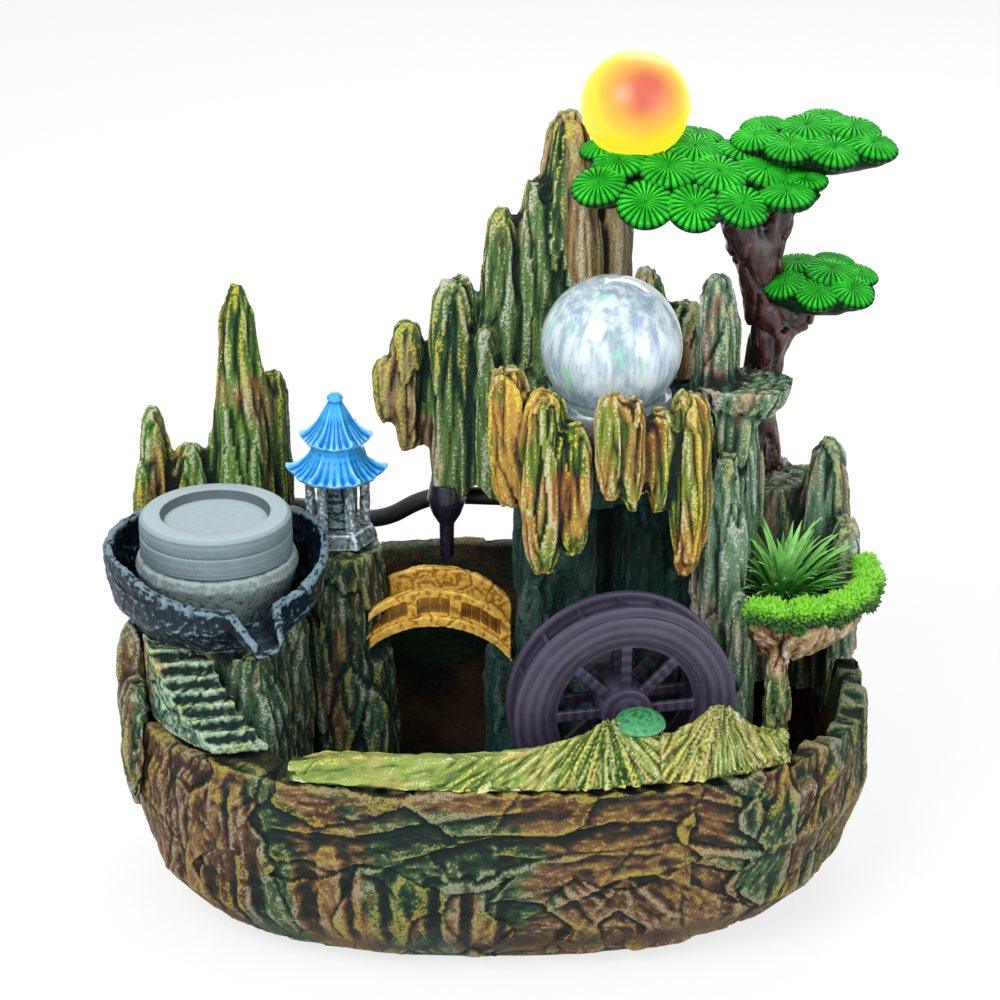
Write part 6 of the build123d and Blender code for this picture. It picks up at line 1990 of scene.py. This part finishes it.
@dataclass
class Pine:
    """The pine: a gnarled trunk and three pads of needle rosettes.

    A pad's thickness, and how far the rosettes stand proud and the slab lies sunk, are in millimetres.
    """

    weathering: Weathering
    scatter: Scatter
    needles: int = 22
    lean_deg: float = 11.0
    thickness: float = 8.0
    proud: float = 0.6
    sunk: float = 1.4
    pads: tuple[Pad, ...] = (
        Pad(
            "foliage_upper_left",
            313.0,
            31.75,
            (66, 38, 58, 46, 10.0),
            (
                *((41, 14, 12), (60, 4, 12.5), (80, 3, 12), (100, 6, 12), (119, 14, 12.5), (50, 26, 12)),
                *((70, 20, 13), (91, 21, 13), (111, 29, 13), (128, 27, 10), (44, 40, 11), (82, 36, 13)),
                *((102, 42, 12), (62, 52, 12), (84, 52, 12), (122, 40, 10)),
            ),
        ),
        Pad(
            "foliage_upper_right",
            324.0,
            45.43,
            (134, 52, 40, 30, 4.0),
            (
                *((108, 44, 11), (122, 35, 11.5), (140, 32, 12), (157, 38, 11.5)),
                *((112, 54, 10), (130, 48, 12.5), (150, 49, 12.5), (138, 58, 10)),
            ),
        ),
        Pad(
            "foliage_lower",
            263.0,
            38.29,
            (137, 42, 30, 28, 5.5),
            (
                *((122, 32, 10), (135, 24, 10), (150, 27, 10.5), (128, 45, 10.5)),
                *((142, 37, 12), (155, 40, 8.5), (145, 49, 9)),
            ),
        ),
    )

    def rosette_mesh(self) -> Mesh:
        """Builds a rosette of radius 1: a flat disc of needles with narrow grooves between them.

        Returns:
            The rosette's mesh, with a pleat value from 0 in a groove to 1 on a needle.
        """
        per_needle, groove, groove_depth = 6, 0.15, 0.085
        around = self.needles * per_needle
        angle = np.arange(around) * 2 * math.pi / around
        phase = (np.arange(around) % per_needle) / per_needle
        wave = 1 - np.exp(-((np.minimum(phase, 1 - phase) / groove) ** 2))
        upper = [(0.06, 0.20), (0.2, 0.25), (0.45, 0.25), (0.7, 0.20), (0.88, 0.12)]
        upper += [(0.98, 0.02), (1.0, -0.08)]
        rows = [(*ring, 1.0) for ring in upper] + [(0.93, -0.24, 0.4), (0.55, -0.34, 0.0)]
        points, pleats = [np.array([[0.0, 0.0, 0.16]])], [np.array([0.1])]
        for radius, height, share in rows:
            depth = groove_depth * min(radius / 0.4, 1.0) * share
            scallop = radius * (1 - 0.06 * (1 - wave) * share * (radius > 0.7))
            z = height - depth * (1 - wave)
            points.append(np.stack([scallop * np.cos(angle), scallop * np.sin(angle), z], 1))
            top = (0.15 + 0.85 * wave) * (0.2 + 0.8 * share)
            pleats.append(top if radius < 0.96 else 0.35 * wave * share)
        faces = [(0, 1 + i, 1 + (i + 1) % around) for i in range(around)]
        for k in range(len(rows) - 1):
            first, second = 1 + k * around, 1 + (k + 1) * around
            for i in range(around):
                j = (i + 1) % around
                faces.append((first + i, second + i, second + j, first + j))
        last = 1 + (len(rows) - 1) * around
        faces.append(tuple(last + i for i in range(around)))
        mesh = mesh_from(np.concatenate(points), faces)
        store(mesh, "pleat", "FLOAT", np.concatenate(pleats))
        return mesh

    def slab(self, pad: Pad) -> None:
        """Builds a pad's slab, swollen round its middle and level under the rosettes.

        Args:
            pad: The pad's sizes.
        """
        slab = merged_copy(f"{pad.node}_slab", pad.node)
        voxel_remesh(slab, 1.0 * MM)
        relax(slab, 6)
        points, normals = vertex_points(slab.data), vertex_normals(slab.data)
        x, y, z = points.T / MM
        top = pad.top + (y - pad.pivot_y) * math.tan(math.radians(self.lean_deg))
        share = np.clip((z - top) / (self.thickness / 2) + 1, 0, 1)
        swollen = np.minimum(z, top - self.sunk) + pad.rise(x, y) * share
        points[:, 2] = swollen * MM
        set_points(slab.data, points)
        # Painted shade: the slab stays dark, darkest on faces that look down.
        store(slab.data, "pleat", "FLOAT", np.clip(0.12 + 0.3 * normals[:, 2], 0, 0.4))
        slab.data.materials.append(NeedleFinish().material())
        shade(slab, Shading.SMOOTH)
        hand_over(slab, "foliage_green", pad.node)

    def pad(self, pad: Pad) -> None:
        """Builds one pad: its slab and the rosettes that cover it.

        Args:
            pad: The pad's sizes.
        """
        self.slab(pad)
        slope = math.tan(math.radians(self.lean_deg))
        rows = []
        for k, (x, y, radius) in enumerate(pad.rosettes):
            rise = pad.rise(np.array([x, x + 1, x]), np.array([y, y, y + 1]))
            height = pad.top + self.proud + (y - pad.pivot_y) * slope + rise[0]
            front = 0.016 * max(pad.pivot_y - 14 - y, 0)
            pitch = math.atan(slope + rise[2] - rise[0]) + front
            tilt = Matrix.Rotation(pitch, 3, "X") @ Matrix.Rotation(math.atan(rise[0] - rise[1]), 3, "Y")
            turn = (tilt @ Matrix.Rotation(0.7 * k, 3, "Z")).to_euler("XYZ")
            place = Vector((x, y, height - 40 * front**2)) * MM
            rows.append((place, Vector(turn), Vector((1.0, 1.0, 0.8)) * (radius * MM)))
        needles, name = NeedleFinish().material(), f"{pad.node}_rosettes"
        leaves = self.scatter.make(name, self.rosette_mesh(), rows, needles, 0.06, 7)
        shade(leaves, Shading.CREASED, 50.0)
        lay_on(leaves)

    def build(self) -> None:
        """Builds the trunk and the pads."""
        # Dark is painted shade in the bark's crevices and worn is a painted gloss highlight.
        red, dark, worn = srgb(50, 19, 17), srgb(9, 7, 8), srgb(108, 44, 38)
        bark = PaintFinish("bark_red", red, dark, worn, 0.55, 0.2, 60, specular=0.6)
        knobbly = Carving(1.5, 3.4, 0.8, 0.6, flute_spacing=12.0, slab_spacing=15.0)
        trunk = Casting(
            "pine_trunk_cast", "pine_trunk", "trunk_red", bark, 0.9 * MM, 5, Grain.UPRIGHT, 0.5, knobbly
        )
        trunk.build(self.weathering)
        for pad in self.pads:
            self.pad(pad)


@dataclass
class PlanterDressing:
    """The planter's grass tuft and mossy rim."""

    scatter: Scatter
    clumps: MossClumps
    x: float = 0.123
    y: float = 0.0
    soil: float = 0.124
    plug_radius: float = 0.015
    plug_height: float = 0.013
    blades: int = 170
    length: float = 0.040
    lean: float = 0.85
    sunk: float = 0.002
    moss_edge: float = 0.038

    def blade_mesh(self) -> Mesh:
        """Builds one upright blade of length 1 that curves over and has a folded middle.

        Returns:
            The blade's mesh.
        """
        steps, half_width, bow = 7, 0.042, 0.34
        points = []
        for k in range(steps):
            share = k / (steps - 1)
            half = half_width * math.sin(math.pi * (0.18 + 0.82 * share)) + 0.002
            bend, rise = bow * share**2, share - 0.10 * share**3
            points += [(-half, bend, rise), (0.0, bend + 0.012, rise)]
            points += [(half, bend, rise), (0.0, bend - 0.010, rise)]
        faces = ring_faces(steps, 4)
        faces.append((0, 1, 2, 3))
        faces.append(tuple(4 * (steps - 1) + i for i in range(4)))
        return mesh_from(np.array(points), faces)

    def tuft(self) -> None:
        """Builds the grass, whose blades lean out more towards the edge of the tuft."""
        golden = math.pi * (3 - math.sqrt(5))
        rows = []
        for k in range(self.blades):
            share = math.sqrt((k + 0.5) / self.blades)
            angle = k * golden
            root = 0.8 * self.plug_radius * share
            place = Vector((self.x + root * math.cos(angle), self.y + root * math.sin(angle), 0))
            place.z = self.soil + self.plug_height - self.sunk
            size = self.length * (1.05 - 0.4 * share) * (0.8 + 0.2 * math.cos(3.7 * k))
            turn = Vector((-self.lean * share, 0, angle - math.pi / 2))
            rows.append((place, turn, Vector((size, size, size))))
        low, high = self.soil + 0.008, self.soil + 0.042
        green = LeafFinish("grass_leaf", srgb(46, 136, 44), srgb(160, 232, 124), low, high)
        tuft = self.scatter.make("grass_blades", self.blade_mesh(), rows, green.material(), 0.16, 11)
        shade(tuft, Shading.CREASED, 60.0)
        lay_on(tuft)

    def plug(self) -> None:
        """Builds the plug that holds the grass."""
        r, h = self.plug_radius, self.plug_height
        profile = [(0.0, 0.0), (r, 0.0), (r, 0.6 * h), (0.86 * r, 0.9 * h), (0.4 * r, h), (0.0, 1.02 * h)]
        plug = make_object("grass_plug", lathe(profile, Vector((self.x, self.y, self.soil)), 48))
        earth = LeafFinish("plug_foam", srgb(30, 48, 22), srgb(64, 92, 40), self.soil, self.soil + 0.02)
        self.clumps.run(plug, {"Material": earth.material()})
        shade(plug, Shading.SMOOTH)
        hand_over(plug, "grass", "grass_tuft")

    def moss(self) -> None:
        """Builds the moss, with a fringe that hangs over the planter's rim."""
        moss = merged_copy("moss_rim", "planter_moss")
        voxel_remesh(moss, 0.9 * MM)
        relax(moss, 6)
        low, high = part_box("planter_moss")
        points, normals = vertex_points(moss.data), vertex_normals(moss.data)
        spoke = points - np.array([self.x, self.y, 0.0])
        angle = np.arctan2(spoke[:, 1], spoke[:, 0])
        outer = np.hypot(spoke[:, 0], spoke[:, 1]) > self.moss_edge
        fringe = 3.2 + 2.0 * np.sin(11 * angle) + 1.4 * np.sin(29 * angle + 1.0)
        lower = np.clip((high[2] - 0.001 - points[:, 2]) / 0.002, 0, 1)
        points[:, 2] -= np.where(outer, fringe * MM * lower, 0.0)
        set_points(moss.data, points + normals * 0.3 * MM)
        lime = LeafFinish("moss_lime", srgb(20, 76, 8), srgb(122, 200, 38), low[2] - 0.004, high[2] + 0.003)
        self.clumps.run(moss, {"Material": lime.material()})
        shade(moss, Shading.SMOOTH)
        hand_over(moss, "moss", "planter_moss")

    def build(self) -> None:
        """Builds the grass, its plug and the moss."""
        self.tuft()
        self.plug()
        self.moss()


# Studio


@dataclass(frozen=True)
class Studio:
    """The camera of the photograph, soft lamps, a pale floor and a white surround."""

    target: tuple[float, float, float] = (0.0, 0.0, 0.178)
    distance: float = 1.170
    elevation_deg: float = 23.4
    lens_mm: float = 97.95
    sky: Colour = (0.93, 0.97, 1.0)
    sky_strength: float = 0.55
    floor_half: float = 6.0
    floor_drop: float = 0.5 * MM
    floor_glow: float = 0.75

    def build(self) -> None:
        """Sets up the whole studio."""
        self._camera()
        self._world()
        self._lamps()
        self._floor()
        bpy.context.scene.view_settings.view_transform = "Standard"

    def _camera(self) -> None:
        """Places the camera at the photograph's viewing angle."""
        data = bpy.data.cameras.new("camera")
        data.lens = self.lens_mm
        data.sensor_width = 36.0
        data.clip_start, data.clip_end = 0.05, 50.0
        camera = bpy.data.objects.new("camera", data)
        bpy.context.scene.collection.objects.link(camera)
        rise = math.radians(self.elevation_deg)
        back = Vector((0.0, -math.cos(rise), math.sin(rise)))
        camera.location = Vector(self.target) + back * self.distance
        camera.rotation_euler = (-back).to_track_quat("-Z", "Y").to_euler()
        bpy.context.scene.camera = camera

    def _world(self) -> None:
        """Lights the scene evenly and shows white behind it."""
        world = bpy.data.worlds.new("surround")
        bpy.context.scene.world = world
        world.use_nodes = True
        t = Tree(world.node_tree)
        world.node_tree.nodes.clear()
        blend = t.add("ShaderNodeMixShader")
        t.link(t.seen(), blend.inputs[0])
        for socket, colour, strength in (
            (blend.inputs[1], self.sky, self.sky_strength),
            (blend.inputs[2], (1.0, 1.0, 1.0), 1.0),
        ):
            light = t.add("ShaderNodeBackground")
            light.inputs["Color"].default_value = (*colour, 1.0)
            light.inputs["Strength"].default_value = strength
            t.link(light.outputs[0], socket)
        t.link(blend.outputs[0], t.add("ShaderNodeOutputWorld").inputs[0])

    def _lamps(self) -> None:
        """Hangs a broad key lamp, a fill and a rim lamp."""
        for name, place, size, power in (
            ("key", (-0.7, -1.0, 1.3), 0.9, 22.0),
            ("fill", (1.1, -0.9, 0.7), 1.2, 9.0),
            ("back", (0.3, 1.2, 1.2), 1.0, 10.0),
        ):
            data = bpy.data.lights.new(name, "AREA")
            data.size = size
            data.energy = power
            lamp = bpy.data.objects.new(name, data)
            lamp.location = place
            lamp.rotation_euler = (Vector(self.target) - Vector(place)).to_track_quat("-Z", "Y").to_euler()
            bpy.context.scene.collection.objects.link(lamp)

    def _floor(self) -> None:
        """Lays a pale floor that keeps the shadow but shows as white."""
        half = self.floor_half
        corners = np.array([(-half, -half, 0), (half, -half, 0), (half, half, 0), (-half, half, 0)], float)
        floor = make_object("floor", mesh_from(corners - [0, 0, self.floor_drop], [(0, 1, 2, 3)]))
        s = Shader("floor_paper")
        grain = s.noise(s.place, 60.0, 2.0)
        s.set(Base_Color=s.mix(grain, (0.93, 0.93, 0.93), (0.97, 0.97, 0.97)), Roughness=0.9)
        glow = s.add("ShaderNodeEmission")
        glow.inputs["Color"].default_value = (1.0, 1.0, 1.0, 1.0)
        glow.inputs["Strength"].default_value = 1.0
        blend = s.add("ShaderNodeMixShader")
        s.link(s.maths("MULTIPLY", s.seen(), self.floor_glow), blend.inputs[0])
        s.link(s.main.outputs[0], blend.inputs[1])
        s.link(glow.outputs[0], blend.inputs[2])
        output = next(node for node in s.tree.nodes if node.type == "OUTPUT_MATERIAL")
        s.link(blend.outputs[0], output.inputs[0])
        floor.data.materials.append(s.material)


def report_size() -> None:
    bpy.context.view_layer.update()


def main() -> None:
    """Builds the studio and every dressed piece, in order."""
    logging.basicConfig(level=logging.INFO, format="%(message)s")
    weathering, scatter = Weathering(), Scatter()
    Studio().build()
    Rockery(weathering).build()
    Mill(weathering).build()
    Pagoda(weathering).build()
    Bridge(weathering, scatter).build()
    BallFountain().build()
    LampGlobe().build()
    WaterWheel(weathering).build()
    PondGear().build()
    Pine(weathering, scatter).build()
    PlanterDressing(scatter, MossClumps()).build()
    report_size()


if __name__ == "__main__":
    main()
